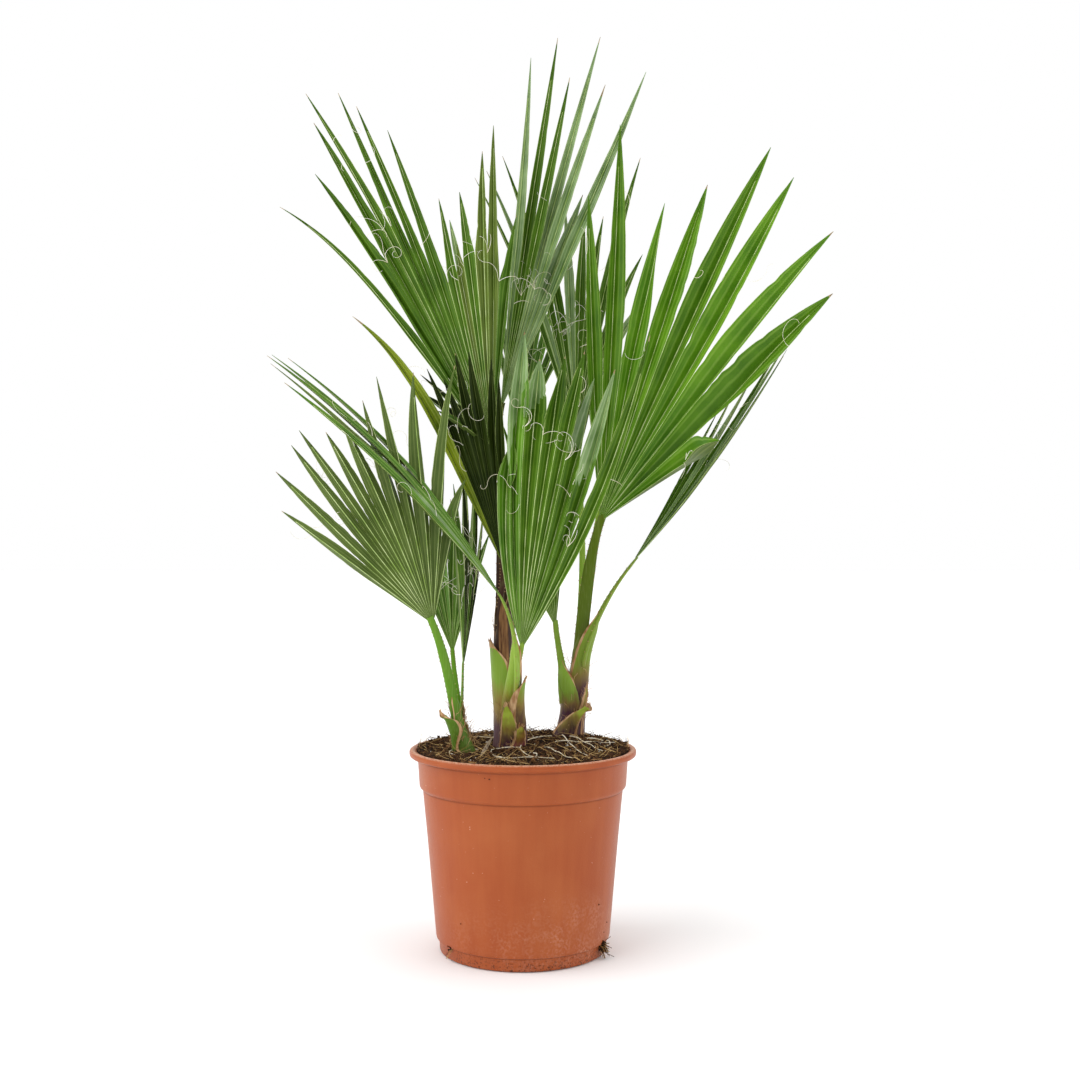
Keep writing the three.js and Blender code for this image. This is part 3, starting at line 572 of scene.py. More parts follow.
def make_pot():
    bpy.ops.object.select_all(action="DESELECT")
    radius, height = OUTSIDE[0]
    bpy.ops.mesh.primitive_circle_add(vertices=POT_SIDES, radius=radius * MM, fill_type="NGON",
                                      location=(0, 0, height * MM))
    pot = bpy.context.object
    pot.name = "moulded_pot"
    bpy.ops.object.transform_apply(location=True)
    bpy.ops.object.mode_set(mode="EDIT")
    bpy.ops.mesh.select_all(action="SELECT")
    for r, z in OUTSIDE[1:] + INSIDE:
        bpy.ops.mesh.extrude_edges_move(TRANSFORM_OT_translate={"value": (0, 0, (z - height) * MM)})
        bpy.ops.transform.resize(value=(r / radius, r / radius, 1), center_override=(0, 0, z * MM))
        radius, height = r, z
    bpy.ops.mesh.edge_face_add()
    bpy.ops.mesh.select_all(action="SELECT")
    bpy.ops.mesh.normals_make_consistent(inside=False)
    bpy.ops.object.mode_set(mode="OBJECT")
    for k in range(DRAIN_HOLES + DRAIN_SLOTS):
        bpy.ops.object.select_all(action="DESELECT")
        if k < DRAIN_HOLES:
            place = DRAIN_CIRCLE * ray((k + 0.5) * 2 * math.pi / DRAIN_HOLES) + (0, 0, FLOOR)
            bpy.ops.mesh.primitive_cylinder_add(vertices=24, radius=DRAIN_RADIUS * MM, depth=4 * FLOOR * MM,
                                                location=place * MM)
        else:
            turn = slot_turn(k - DRAIN_HOLES)
            place = FOOT_RADIUS * ray(turn) + (0, 0, FOOT_HEIGHT + 0.5)
            bpy.ops.mesh.primitive_cube_add(size=1, location=place * MM, rotation=(0, 0, turn))
            bpy.context.object.scale = [c * MM for c in SLOT]
            bpy.ops.object.transform_apply(location=False, rotation=False, scale=True)
        punch = bpy.context.object
        pick(pot)
        cut = pot.modifiers.new("drain hole", "BOOLEAN")
        cut.operation = "DIFFERENCE"
        cut.solver = "EXACT"
        cut.object = punch
        bpy.ops.object.modifier_apply(modifier=cut.name)
        bpy.data.objects.remove(punch)
    pot.data.materials.clear()
    pot.data.materials.append(POT)
    pick(pot)
    bpy.ops.object.shade_smooth_by_angle(angle=math.radians(32))
    register(pot, ["pot"])


# The soil: a lumpy bed that fills the pot, with crumbs, fibres, perlite and roots lying on it.

BED_RADIUS = COLLAR_RADIUS + 0.9
BED_RINGS = 60
BED_SIDES = 180

# Loose pale roots, as control points in plan.
ROOTS = [
    ((27, 36), (-16, 8), (-8, -62), (28, -80)), ((37, 36), (42, 0), (48, -30), (58, -66)),
    ((44, 30), (62, 12), (64, -20), (72, -44)), ((-2, -12), (-34, -20), (-36, -50), (-12, -76)),
    ((30, 4), (50, 14), (70, 2), (86, 10)), ((-40, -30), (-60, -20), (-74, -36), (-60, -58)),
    ((-14, 36), (-30, 52), (-50, 42), (-62, 30)), ((10, -42), (22, -62), (-4, -84), (-24, -72)),
    ((60, 24), (82, 30), (86, 6), (76, -10)), ((20, -20), (34, -34), (30, -60), (48, -78)),
]


def bed_height(x, y):
    """The soil's surface: lumps of about 20 and 6 mm, heaped a little to the back right."""
    r = math.hypot(x, y) / BED_RADIUS
    lumps = 3.2 * noise.noise((x / 19, y / 19, 3.1)) + 1.8 * noise.noise((x / 6, y / 6, 8.7))
    heap = 3.5 * math.exp(-((x - 30) ** 2 + (y - 35) ** 2) / 2600)
    back = 1.8 * smooth_step((y + 20) / 90) * (1 - r ** 10)
    return SOIL_TOP + 0.1 + heap * (1 - r ** 6) + back + lumps * (1 - r ** 6) - 0.3 * r ** 8


def make_bed():
    """The soil's body: its flat underside, its wall inside the pot, and its lumpy top."""
    wall = [(40, 6.6), (FOOT_RADIUS - WALL - 2.6, 6.6), (BASE_RADIUS - WALL - 0.6, FOOT_HEIGHT + 3),
            (BODY_RADIUS - WALL - 0.6, COLLAR_BOTTOM - 5), (COLLAR_RADIUS - WALL - 2.6, COLLAR_BOTTOM),
            (COLLAR_RADIUS - WALL - 0.6, LIP_TOP - 9), (COLLAR_RADIUS - WALL + 0.3, LIP_TOP - 4)]
    turns = np.arange(BED_SIDES) * 2 * math.pi / BED_SIDES
    rings = [[r * ray(a) + (0, 0, z) for a in turns] for r, z in wall]
    for k in range(BED_RINGS):
        plan = [BED_RADIUS * (1 - k / BED_RINGS) * ray(a)[:2] for a in turns]
        rings.append([(x, y, bed_height(x, y)) for x, y in plan])
    bed = Heap()
    bed.loft(rings)
    bed.piece("soil_bed", [PEAT], "soil", ["soil"], smooth=80)


def make_litter(chance):
    """Crumbs, wood chips, perlite, fibres and roots on the soil."""
    clear = [(stem["path"][0], stem["radii"][0]) for stem in STEMS]

    def spot(inner=0.0):
        """A chance place on the soil, past an inner radius and clear of the stems."""
        while True:
            turn = chance.uniform(0, 2 * math.pi)
            r = math.sqrt(chance.uniform(inner ** 2, (BED_RADIUS - 1.2) ** 2))
            x, y = r * math.cos(turn), r * math.sin(turn)
            if all(math.hypot(x - foot[0], y - foot[1]) > radius for foot, radius in clear):
                return x, y, bed_height(x, y)

    crumbs = Heap()
    for k in range(CRUMBS):
        x, y, z = spot(0 if k < SPREAD_CRUMBS else BED_RADIUS - 6)
        size, shape = chance.uniform(0.5, 2.4), chance.uniform(0.5, 1.3, 6)
        crumbs.lump((x, y, z + size * 0.4), size, shape, int(chance.integers(0, 7) // 3))
    for _ in range(CHIPS):
        x, y, z = spot()
        size, turn = chance.uniform(1.6, 4.2), chance.uniform(0, math.pi)
        run = ray(turn, chance.normal(0, 0.4))
        wide = ray(turn + math.pi / 2, chance.normal(0, 0.3)) * 0.35
        flat = np.array((0, 0, 0.22))
        corners = [u * run + v * wide + w * flat for u in (-1, 1) for v in (-1, 1) for w in (-1, 1)]
        points = [np.array((x, y, z + 1.2)) + size * c * chance.uniform(0.8, 1.2) for c in corners]
        faces = [(0, 1, 3, 2), (4, 6, 7, 5), (0, 4, 5, 1), (2, 3, 7, 6), (0, 2, 6, 4), (1, 5, 7, 3)]
        crumbs.add(points, faces, int(chance.integers(0, 3)))
    crumbs.piece("soil_crumbs", [PEAT, PEAT_BROWN, PEAT_LIGHT], "soil")

    grains = Heap()
    for _ in range(PERLITE_GRAINS):
        x, y, z = spot()
        size = chance.uniform(0.6, 1.6)
        grains.lump((x, y, z + size * 0.6), size, chance.uniform(0.6, 1.2, 6))
    grains.piece("soil_perlite", [PERLITE], "soil")

    fibres = Heap()
    for k in range(FIBRES):
        x, y, z = spot(0 if k < SPREAD_FIBRES else BED_RADIUS - 8)
        turn, winding = chance.uniform(0, 2 * math.pi), chance.normal(0, 1.0)
        step, tilt = chance.uniform(4, 24) / 4, chance.normal(0.0, 0.24)
        path, p = [], np.array((x, y, z + 1.0))
        for n in range(1, 6):
            path.append(p.copy())
            p = p + step * ray(turn)
            p[:2] *= min(1, (BED_RADIUS - 0.6) / math.hypot(p[0], p[1]))
            p[2] = bed_height(p[0], p[1]) + 1.0 + abs(tilt) * step * n
            turn += winding / 4
        thin = chance.uniform(0.12, 0.32)
        fibres.tube(path, [thin, thin, thin, thin * 0.8, thin * 0.4], 3, int(chance.uniform() < 0.62))
    chip = np.linspace((-28, -20, 197), (-36.5, -60, 186.5), 5)
    fibres.tube(chip, [0.5, 1.3, 1.7, 1.6, 0.7], 4, 2)
    fibres.piece("soil_fibres", [STRAW, TWIG, CHIP], "soil")

    roots = Heap()
    for plan in ROOTS:
        path = [bezier([(*place, 0) for place in plan], k / ROOT_STEPS)[0] for k in range(ROOT_STEPS + 1)]
        ground = [bed_height(p[0], p[1]) for p in path]
        crest = [max(ground[max(k - 4, 0):k + 5]) for k in range(len(path))]
        for k, p in enumerate(path):
            p[2] = np.mean(crest[max(k - 6, 0):k + 7]) + 2.4 + 0.5 * math.sin(k * 0.3)
        roots.tube(path, np.linspace(0.62, 0.25, len(path)), 6)
    roots.piece("soil_roots", [ROOT], "soil")


def make_drain_roots(chance):
    """The crumbs that stick to the pot's side, and the roots and peat in the slots over its foot."""
    tufts = Heap()
    for x, z in SIDE_CRUMBS:
        r = COLLAR_RADIUS - 0.5 if z > COLLAR_BOTTOM else BASE_RADIUS + (z - 15) * 0.089
        size, shape = chance.uniform(0.6, 0.95), chance.uniform(0.7, 1.1, 6)
        tufts.lump((x, -math.sqrt(r * r - x * x), z), size, shape, 2)
    for k, strands in SLOT_STRANDS:
        out, side = ray(slot_turn(k)), ray(slot_turn(k) + math.pi / 2)
        for _ in range(strands):
            p = out * 76 + side * chance.uniform(-2.6, 2.6) + (0, 0, 12.5 + chance.normal(0, 0.5))
            heading = out + side * chance.normal(0, 0.5) + (0, 0, chance.normal(-0.6, 0.5))
            path = []
            for _ in range(6):
                path.append(p.copy())
                p = p + heading * chance.uniform(0.7, 2.0)
                p[2] = max(p[2], 0.8)
                heading = heading + chance.normal(0, 0.3, 3) + (0, 0, -0.08)
            tufts.tube(path, 0.28, 3, int(chance.uniform() < 0.5))
        for _ in range(strands):
            at = out * chance.uniform(76, 81.5) + side * chance.normal(0, 1.7) + (0, 0, 11)
            tufts.lump(at + (0, 0, chance.normal(0, 2.6)), chance.uniform(0.7, 1.7),
                       chance.uniform(0.6, 1.2, 6), 2)
    tufts.piece("drain_hole_roots", [STRAW, TWIG, PEAT], "soil")


# The stems, with the ribs and rags of old leaf bases on them.

STEM_SIDES = 36
STEM_ROWS = 46
STUB_ROWS = 30
SHEET_COLUMNS = 12
FOOT_SWELL = 0.22


def stem_radius(stem, t):
    """The stem's radius at t, from foot to tip, with its swollen foot."""
    return along(stem["radii"], min(1, t)) * (1 + FOOT_SWELL * math.exp(-9 * t))


def stem_at(stem, z):
    """The stem's axis and radius at a height."""
    foot, bend, tip = stem["path"]
    t = min(1.3, max(0, (z - foot[2]) / (tip[2] - foot[2])))
    return bezier((foot, bend, tip), t)[0], stem_radius(stem, t)


def stem_of(name):
    """The stem that a piece grows on, which shares the first word of its name."""
    return [stem for stem in STEMS if stem["name"].split("_")[0] == name.split("_")[0]][0]


def stub_ring(stub, stem, t):
    """A stub's sheet at t, from foot to tip: its outer side, then its inner side back again."""
    low, high = stub["heights"]
    z = low + (high - low) * t
    centre, radius = stem_at(stem, z)
    first, last, proud = (through(stub[key], t) for key in ("left", "right", "proud"))
    centre = centre + (*(through(keys, t) for keys in stub["lean"]), 0)
    rag = smooth_step((t - 0.75) / 0.25)
    outer, inner = [], []
    for n in range(SHEET_COLUMNS + 1):
        u = 2 * n / SHEET_COLUMNS - 1
        a = math.radians(first + (last - first) * (u + 1) / 2)
        out = np.array((math.sin(a), -math.cos(a), 0))
        thick = (2.2 - 1.2 * t) * (1 - 0.75 * abs(u) ** 3)
        p = centre + out * (radius + proud + 0.5 * noise.noise((a * 2, t * 7, low)))
        p[2] = z + rag * (2.6 * noise.noise((n * 0.9, low, high)) - 5 * u * u)
        outer.append(p)
        inner.append(p - out * thick)
    return outer + inner[::-1]


def make_stems():
    for stem in STEMS:
        heap = Heap()
        rings = []
        for k in range(STEM_ROWS + 1):
            t = k / STEM_ROWS
            p, run = bezier(stem["path"], t)
            side = unit(np.cross(run, (0, -1, 0)))
            front = np.cross(side, run)
            ring = []
            for n in range(STEM_SIDES):
                a = 2 * math.pi * n / STEM_SIDES
                rib = 0.5 * noise.noise((math.cos(a) * 3.2 + p[0], math.sin(a) * 3.2, t * 1.6))
                step = 0.7 * ((t * 5 + a * 0.35) % 1)
                r = (stem_radius(stem, t) - 0.8 + rib + step) * (1 - 0.45 * smooth_step((t - 0.93) / 0.07))
                ring.append(p + r * (math.cos(a) * side + math.sin(a) * front))
            rings.append(ring)
        heap.loft(rings)
        if stem["name"] == "middle_stem":
            heap.loft([stub_ring(OLD_SHEATH, stem, k / STUB_ROWS) for k in range(STUB_ROWS + 1)])
        heap.piece(f"{stem['name']}_bark", [SHEATH_FIBRE], "stem", [stem["name"]], smooth=50)


def sheet_ring(centre, radius, facing, wrap, thick, rag):
    """A closed ring round the arc of a sheath: its outer side, then its inner side back again."""
    outer, inner = [], []
    for n in range(SHEET_COLUMNS + 1):
        u = 2 * n / SHEET_COLUMNS - 1
        a = facing + u * wrap + (rag if u > 0 else -rag) * abs(u) ** 6
        outer.append(centre + ray(a) * radius)
        inner.append(centre + ray(a) * (radius - thick * (1 - 0.8 * abs(u) ** 3)))
    return outer + inner[::-1]


def sheath_slots(dry):
    """Which sides of a sheath's ring are living skin, 0, and which its dry margins, 1."""
    row = [1 if n < dry[0] or n >= SHEET_COLUMNS - dry[1] else 0 for n in range(SHEET_COLUMNS)]
    return row + [1] + row[::-1] + [1]


def petiole_path(blade):
    """The petiole's curve: root, knee if it has one, bend, neck and end."""
    reach = np.linalg.norm(blade.hub - np.array(blade.bend, float))
    knee = [blade.knee] if blade.knee else []
    return [blade.root, *knee, blade.bend, blade.hub - blade.axis * 0.35 * reach,
            blade.hub + blade.axis * (BLADE_START + 1.5)]


PETIOLE_SIDES = 14
PETIOLE_ROWS = 44
PETIOLE_FLAT = 0.66
PETIOLE_THICK = 7.5
TEETH_SHARE = 0.75
SHEATH_ROWS = 40


def make_petioles():
    """Each petiole, flattened above, and the sheath that wraps its stem below and frees itself above."""
    teeth = Heap()
    chance = np.random.default_rng(23)
    for blade in blades:
        node = blade.node("petiole")
        stem = stem_of(blade.name)
        curve = petiole_path(blade)
        heap = Heap()
        rings = []
        for k in range(PETIOLE_ROWS + 1):
            t = k / PETIOLE_ROWS
            p, run = bezier(curve, t)
            rise = unit(blade.normal - run * (blade.normal @ run))
            side = np.cross(run, rise)
            w = blade.width(t)
            h = min(w * PETIOLE_FLAT, PETIOLE_THICK) * (1 - 0.45 * smooth_step((t - 0.9) / 0.1))
            ring = []
            for n in range(PETIOLE_SIDES):
                a = 2 * math.pi * n / PETIOLE_SIDES
                x, y = math.cos(a), math.sin(a)
                y = 0.5 * y - 0.12 * (1 - x * x) if y > 0 else y
                ring.append(p + side * x * w / 2 + rise * y * h / 2)
            rings.append(ring)
            if 0.12 < t < 0.92 and k % 2 == 0:
                for sign in (-1, 1):
                    if chance.uniform() < TEETH_SHARE:
                        foot = p + sign * side * (w / 2 - 0.2) + rise * 0.1 * h
                        point = foot + sign * side * chance.uniform(0.7, 1.3) + run * chance.uniform(0.2, 1.0)
                        teeth.tube([foot, (foot + point) / 2 + run * 0.15, point], [0.55, 0.35, 0.05], 4)
        heap.loft(rings)
        low = SOIL_TOP - 2
        high = blade.sheath or blade.root[2] + 0.42 * (blade.bend[2] - blade.root[2]) + 8
        steps = np.linspace(0, 0.9, 60)
        levels = [bezier(curve, t)[0][2] for t in steps]
        above = bezier(curve, 0.3)[0]
        facing = math.atan2(*(above - stem_at(stem, above[2])[0])[[1, 0]])
        if blade.face is not None:
            facing = math.radians(blade.face - 90)
        rings = []
        for k in range(SHEATH_ROWS + 1):
            s = k / SHEATH_ROWS
            z = low + (high - low) * s
            freed = smooth_step((z - blade.root[2] + 30) / (high - blade.root[2] + 30))
            centre, radius = stem_at(stem, z)
            t = np.interp(z, levels, steps)
            centre = centre + (bezier(curve, t)[0] - centre) * freed
            centre[2] = z
            rag = 0.10 * noise.noise((z / 6, blade.seed * 3.7, 1.3))
            proud = 1.6 - 0.08 * blade.n
            held = (blade.width(t) / 2 + 0.6) * (1 - 0.62 * smooth_step((s - 0.82) / 0.18))
            radius = (radius + proud) * (1 - freed) + held * freed
            wrap = 1.9 * (1 - freed) + 1.3 * freed
            rings.append(sheet_ring(centre, radius, facing, wrap, 1.3, rag))
        heap.loft(rings, sheath_slots(blade.dry))
        heap.piece(f"{node}_stalk", [STALKS[blade.stalk], DRY_MARGIN], "petiole", [node], smooth=45)
    teeth.piece("petiole_teeth", [DRY_MARGIN], "petiole")


def hair(chance, p, heading, steps, stride, bend):
    """The path of a stray fibre that bends a little by chance at each step."""
    path = []
    for _ in range(steps):
        path.append(p.copy())
        p = p + unit(heading) * chance.uniform(*stride)
        heading = heading + chance.normal(0, bend, 3)
    return path


def make_stubs():
    """The cut stumps of old fronds: curved sheets round their stem, with dry margins and tips."""
    chance = np.random.default_rng(5)
    rags = Heap()
    for stub in STUBS:
        stem = stem_of(stub["name"])
        heap = Heap()
        rings = [stub_ring(stub, stem, k / STUB_ROWS) for k in range(STUB_ROWS + 1)]
        heap.loft(rings, sheath_slots(stub["dry"]))
        dry_end = 2 * len(rings[0]) + 2
        heap.slots[-dry_end:] = [1] * dry_end
        heap.piece(f"{stub['name']}_stump", [STALKS[stub["skin"]], DRY_MARGIN], "stub", [stub["name"]],
                   smooth=50)
        for _ in range(9):
            foot = rings[-1][chance.integers(1, SHEET_COLUMNS)]
            heading = np.array((0, 0, 1.0)) + chance.normal(0, 0.4, 3)
            rags.tube(hair(chance, foot, heading, 4, (0.5, 1.4), 0.35), [0.4, 0.35, 0.25, 0.1], 4)
        for _ in range(16):
            foot = rings[chance.integers(3, STUB_ROWS - 3)][chance.choice((0, SHEET_COLUMNS))]
            heading = np.array((0, -0.3, 0.8)) + chance.normal(0, 0.5, 3)
            rags.tube(hair(chance, foot, heading, 5, (0.8, 1.8), 0.4), 0.16, 3)
    for stem in STEMS:
        for _ in range(70):
            z = chance.uniform(SOIL_TOP + 2, stem["path"][2][2] - 4)
            centre, radius = stem_at(stem, z)
            a = chance.uniform(0, 2 * math.pi)
            path, p = [], centre + (radius + 0.6) * ray(a)
            heading = 0.25 * ray(a) + (0, 0, 1.0)
            for _ in range(6):
                path.append(p.copy())
                p = p + heading * chance.uniform(1.5, 3.5)
                heading = unit(heading + chance.normal(0, 0.3, 3))
            rags.tube(path, 0.2, 3)
    rags.piece("sheath_rags", [DRY_MARGIN], "stem")


# The fronds

class Blade:
    """A frond's leaflets: pleated together from the hub to the notches, then free to their tips."""

    cup, arch, sag, splay = 15, 0, 0, 0
    split, broad, threads = (0.3, 0.5, 0.3), 1.15, 1.0
    second = odd = face = knee = sheath = None
    sheen, bow, dry = (), {}, (1, 1)

    def __init__(self, **spec):
        self.__dict__.update(spec)
        self.hub = np.array(self.hub, float)
        self.second = self.second or NEIGHBOUR[self.leaf]
        self.odd = self.odd or [i for i in range(self.count) if rand(self.seed + 21, i) < 0.4]
        self.cup, lean, pitch, turn = (math.radians(a) for a in (self.cup, self.lean, self.pitch, self.turn))
        self.axis = np.array([math.sin(lean) * math.cos(pitch), -math.sin(pitch),
                              math.cos(lean) * math.cos(pitch)])
        front = np.array([0, -1.0, 0])
        front = unit(front - self.axis * (self.axis @ front))
        self.normal = math.cos(turn) * front + math.sin(turn) * np.cross(self.axis, front)
        self.side = np.cross(self.axis, self.normal)
        self.widest = math.radians(max(abs(self.spread[0]), abs(self.spread[-1])))
        self.longest = max(self.reach)

    def node(self, kind):
        return f"{self.name}_{kind}_{self.n}"

    def width(self, t):
        """The petiole's width at t, from its root to the hub. The keys lie closer towards the root."""
        return along(self.wide, 1 - (1 - t) ** 2)

    def edge(self, j):
        """The angle of the ridge before leaflet j."""
        return math.radians(along(self.spread, j / self.count))

    def theta(self, i):
        return (self.edge(i) + self.edge(i + 1)) / 2

    def half(self, i):
        return (self.edge(i + 1) - self.edge(i)) / 2

    def length(self, i):
        return along(self.reach, i / (self.count - 1)) * (1 + 0.04 * (rand(self.seed, i) - 0.5))

    def swing(self, i):
        return 0.05 * (rand(self.seed + 50, i) - 0.5) + self.splay * math.sin(self.theta(i))

    def beside(self, j):
        return [i for i in (j - 1, j) if 0 <= i < self.count]

    def notch(self, j):
        """How far from the hub the leaflets on both sides of ridge j stay joined."""
        shortest = min(self.length(i) for i in self.beside(j))
        return min(self.longest * along(self.split, j / self.count), 0.8 * shortest)

    def direction(self, theta):
        turn = self.cup * theta / self.widest
        return (math.cos(theta) * self.axis + math.sin(theta) * math.cos(turn) * self.side
                + math.sin(theta) * math.sin(turn) * self.normal)

    def point(self, i, theta, r):
        """A point of leaflet i's middle surface, with the directions across it, out of it and along it."""
        out = self.direction(theta)
        across = self.direction(theta + 1e-4) - self.direction(theta - 1e-4)
        across = unit(across - out * (across @ out))
        up = np.cross(across, out)
        length = self.length(i)
        bend = length * (r / length) ** 2.2
        p = r * out - self.arch * bend * up + self.swing(i) * bend * across
        p += self.bow.get(i, 0) * length * (r / length) ** 5 * across
        p[2] -= self.sag * math.hypot(out[0], out[1]) * bend
        return p, across, up, out

    def ridge(self, j, r):
        near = self.beside(j)
        ends = [self.point(i, self.edge(j), r) for i in near]
        half = sum(self.half(i) for i in near) / len(near)
        p = sum(e[0] for e in ends) / len(ends)
        return p + ends[0][2] * FOLD * half * r

    def rows(self, i):
        """Leaflet i row by row: its left edge, middle and right edge, its up direction, its distance
        from the hub, and its share of the free part."""
        radii = self.notch(i), self.notch(i + 1)
        middle = sum(radii) / 2
        drop = FOLD * self.half(i)
        tip = self.length(i)
        made = []
        for k in range(INNER_ROWS + 1):
            a, m, b = (BLADE_START + (n - BLADE_START) * k / INNER_ROWS for n in (radii[0], middle, radii[1]))
            p, _, up, _ = self.point(i, self.theta(i), m)
            made.append((self.ridge(i, a), p - drop * m * up, self.ridge(i + 1, b), up, m, 0))
        gaps = []
        for sign, start in zip((-1, 1), radii):
            p, across, up, _ = self.point(i, self.theta(i), start)
            own = p + (sign * across + FOLD * up) * self.half(i) * start
            gaps.append(self.ridge(i if sign < 0 else i + 1, start) - own)
        twist = 1.5 * (rand(self.seed + 9, i) - 0.5) ** 3 * 4
        layer = STAGGER * (-1) ** i * (self.broad - 1) / 0.3
        for k in range(1, OUTER_ROWS + 1):
            t = 1 - (1 - k / OUTER_ROWS) ** 1.15
            free = smooth_step(t / WIDENED_BY)
            taper = (1 - t ** 2.3) * (1 + (self.broad - 1) * free)
            r = middle + (tip - middle) * t
            p, across, up, _ = self.point(i, self.theta(i), r)
            raised = up * layer * free
            angle = twist * smooth_step(1.3 * t)
            turned = math.cos(angle) * across + math.sin(angle) * up
            lift = math.cos(angle) * up - math.sin(angle) * across
            ends = []
            for sign, start, gap in zip((-1, 1), radii, gaps):
                q = self.point(i, self.theta(i), start + (tip - start) * t)[0] + raised
                nick = 1 - 0.5 * max(0, rand(self.seed + 31, 60 * i + k + 30 * (sign > 0)) - 0.8)
                width = self.half(i) * start * taper * nick + 0.2
                ends.append(q + (sign * turned + FOLD * lift) * width + gap * (1 - t) ** 1.5)
            made.append((ends[0], p + raised - drop * middle * taper * lift, ends[1], lift, r, t))
        return made

    def build(self):
        """All leaflets as one heap. Its slots: 0 upper skin, 1 underside, 2 rib, 3 margin, 4 dried tip,
        5 the upper skin of the leaflets that differ, and 6 a painted sheen: the sage skin laid on the folds
        that would reflect the sky."""
        heap = Heap()
        wide = 10
        for i in range(self.count):
            points, uvs, faces, slots = [], [], [], []
            rows = self.rows(i)
            skin = 5 if i in self.odd else 0
            dried = DRY_FROM + (1 - DRY_FROM) * rand(self.seed + 3, i)
            for left, centre, right, up, r, t in rows:
                size = max(np.linalg.norm(right - left) / 2, 0.2)
                rib = min(RIB_SHARE, RIB_HALF * (1 - 0.35 * t) / size)
                edge = 1 - min(MARGIN_SHARE, MARGIN_WIDE / size)
                half = (rib, rib + (edge - rib) / 3, rib + (edge - rib) * 2 / 3, edge, 1)
                for side in (1, -1):
                    for c in [-x for x in half[::-1]] + list(half):
                        x = abs(c)
                        p = centre + ((left if c < 0 else right) - centre) * x
                        p += up * BULGE * size * math.sin(math.pi * x)
                        thick = LEAF_THICK * (1 - 0.6 * t) * (0.35 if x == 1 else 1)
                        if x == rib:
                            thick += RIB_PROUD * min(1, size / 6)
                        points.append(p + side * up * thick / 2 + self.hub)
                        uvs.append((c * 0.5 + 0.5, r / 100))
            for k in range(len(rows) - 1):
                a, b = 2 * wide * k, 2 * wide * (k + 1)
                t = rows[k][5]
                edge = 2 if t == 0 else 4 if t > dried else 3 if t < 0.8 else skin
                # Painted sheen: on the sheen leaflets the sage skin spreads across the columns towards the
                # tip, standing in for the sky's reflection.
                painted_sheen_reach = SHEEN_RUN * (t - 0.05) if i in self.sheen else 0
                for c in range(wide - 1):
                    skin_or_painted_sheen = 6 if c < painted_sheen_reach else skin
                    top = 2 if c == wide // 2 - 1 and t < 0.8 else edge if c in (0, wide - 2) else skin_or_painted_sheen
                    under = 1 if top in (0, 5, 6) else top
                    faces.append((a + c, a + c + 1, b + c + 1, b + c))
                    faces.append((a + wide + c, b + wide + c, b + wide + c + 1, a + wide + c + 1))
                    slots += [4, 4] if t > dried else [top, under]
                faces.append((a, b, b + wide, a + wide))
                faces.append((a + wide - 1, a + 2 * wide - 1, b + 2 * wide - 1, b + wide - 1))
                slots += [edge, edge]
            last = 2 * wide * (len(rows) - 1)
            for c in range(wide - 1):
                faces.append((last + c, last + c + 1, last + wide + c + 1, last + wide + c))
                faces.append((c + 1, c, wide + c, wide + c + 1))
                slots += [3, 0]
            heap.add(points, faces, slots, uvs)
        return heap


# The threads that hang where leaflets have split apart, and from their margins.

def curl(chance, start, heading, facing, length, tight):
    """A dry thread that leaves its leaf in a wide arc and winds up towards its end, along the leaf."""
    axis = unit(facing * chance.choice((-1, 1)) + chance.normal(0, 0.3, 3))
    heading = unit(heading - axis * (heading @ axis) * 0.8)
    wide = tight * chance.uniform(3, 14)
    path, p, gone = [], start + facing * 0.8, 0
    while gone < length:
        path.append(p.copy())
        turn = tight + (wide - tight) * (1 - gone / length) * chance.uniform(0.5, 1.5)
        step = min(1.7, 0.4 * turn)
        p = p + heading * step
        heading = unit(heading + np.cross(axis, heading) * step / turn)
        axis = unit(axis + chance.normal(0, 0.04, 3)) * (-1 if chance.uniform() < 0.025 * step else 1)
        gone += step
    return path


def make_threads():
    chance = np.random.default_rng(42)
    heap = Heap()
    for blade in blades:
        for j in range(1, blade.count):
            r = blade.notch(j)
            _, across, up, out = blade.point(blade.beside(j)[0], blade.edge(j), r)
            for _ in range(chance.poisson(NOTCH_THREADS * blade.threads)):
                heading = out + up * chance.uniform(0, 0.6) + across * chance.normal(0, 0.9)
                path = curl(chance, blade.hub + blade.ridge(j, r), heading, up, chance.uniform(12, 50),
                            chance.uniform(1.4, 3.4))
                heap.tube(path, np.linspace(chance.uniform(0.2, 0.3), 0.12, len(path)), 3)
        for i in range(blade.count):
            rows = blade.rows(i)
            for _ in range(chance.poisson(MARGIN_THREADS * blade.threads)):
                row = rows[chance.integers(INNER_ROWS, len(rows) - 8)]
                edge = row[0] if chance.uniform() < 0.5 else row[2]
                path = curl(chance, blade.hub + edge, chance.normal(0, 0.7, 3) + row[3] * 0.5, row[3],
                            chance.uniform(6, 40), chance.uniform(1.2, 3.6))
                heap.tube(path, np.linspace(chance.uniform(0.17, 0.27), 0.12, len(path)), 3)
    heap.piece("leaf_threads", [THREAD], "frond")


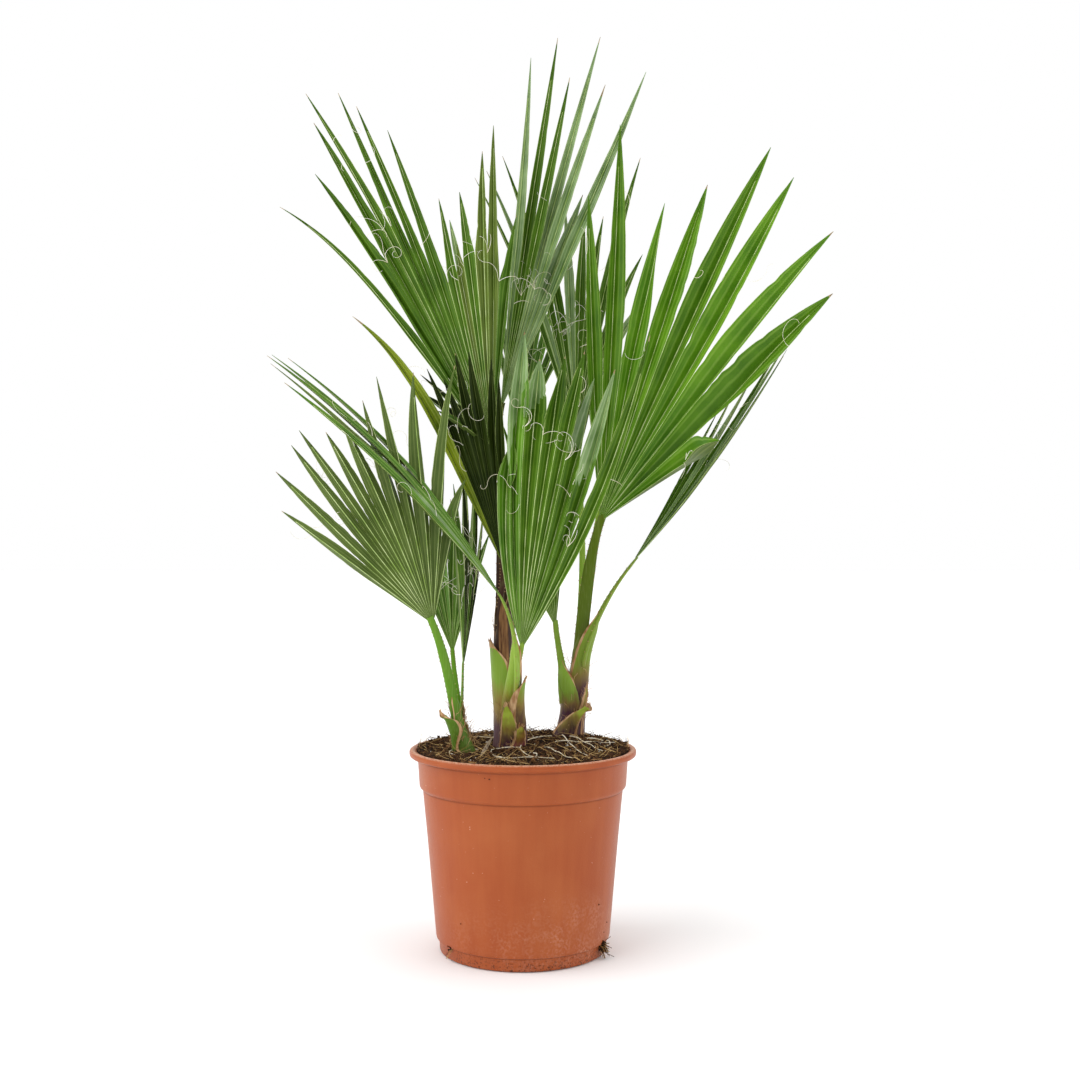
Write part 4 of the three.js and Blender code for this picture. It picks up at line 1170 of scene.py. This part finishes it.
def make_fans():
    for blade in blades:
        # Fans in the dark skin, which is painted shade, get the darker rib as well.
        rib = PAINTED_SHADE_RIB if blade.leaf == "dark" else RIB
        # Slot 6, the sage skin, is the painted sheen.
        skins = [LEAVES[blade.leaf], UNDERSIDE, rib, MARGIN, DRY_TIP, LEAVES[blade.second], LEAVES["sage"]]
        node = blade.node("fan")
        blade.build().piece(f"{node}_leaflets", skins, "frond", [node], smooth=25)


blades = [Blade(**spec) for spec in FRONDS]
make_pot()
make_bed()
soil_chance = np.random.default_rng(11)
make_litter(soil_chance)
make_drain_roots(soil_chance)
make_stems()
make_petioles()
make_stubs()
make_fans()
make_threads()


# Studio

def studio():
    scene = bpy.context.scene
    camera = bpy.data.objects.new("camera", bpy.data.cameras.new("camera"))
    scene.collection.objects.link(camera)
    camera.location = CAMERA_PLACE
    camera.rotation_euler = (math.pi / 2, 0, 0)
    camera.data.lens = LENS_MM
    camera.data.sensor_width = 36
    camera.data.clip_start = 0.01
    scene.camera = camera
    bpy.ops.object.select_all(action="DESELECT")
    bpy.ops.mesh.primitive_plane_add(size=30, location=(0, 0, -0.0005))
    floor = bpy.context.object
    floor.name = "studio_floor"
    paper, _, skin = finish("studio floor, white paper", 0.9)
    skin.inputs["Base Color"].default_value = (0.97, 0.97, 0.97, 1)
    floor.data.materials.append(paper)
    scene.world = bpy.data.worlds.new("studio")
    scene.world.use_nodes = True
    tree = scene.world.node_tree
    sky = tree.nodes["Background"]
    sky.inputs["Color"].default_value = (1, 1, 1, 1)
    seen = put(tree, "LightPath", out="Is Camera Ray")
    tree.links.new(put(tree, "MapRange", {"Value": seen, "To Min": WORLD_LIGHT, "To Max": 1.0}),
                   sky.inputs["Strength"])
    for name, place, wide, power in LAMPS:
        data = bpy.data.lights.new(name, "SUN")
        data.energy = power
        data.angle = math.radians(wide)
        lamp = bpy.data.objects.new(name, data)
        scene.collection.objects.link(lamp)
        lamp.location = place
        lamp.rotation_euler = (Vector(LIT_PLACE) - Vector(place)).to_track_quat("-Z", "Y").to_euler()
    scene.view_settings.view_transform = "Standard"
    scene.view_settings.look = "None"
    scene.view_settings.exposure = 0
    scene.view_settings.gamma = 1


studio()
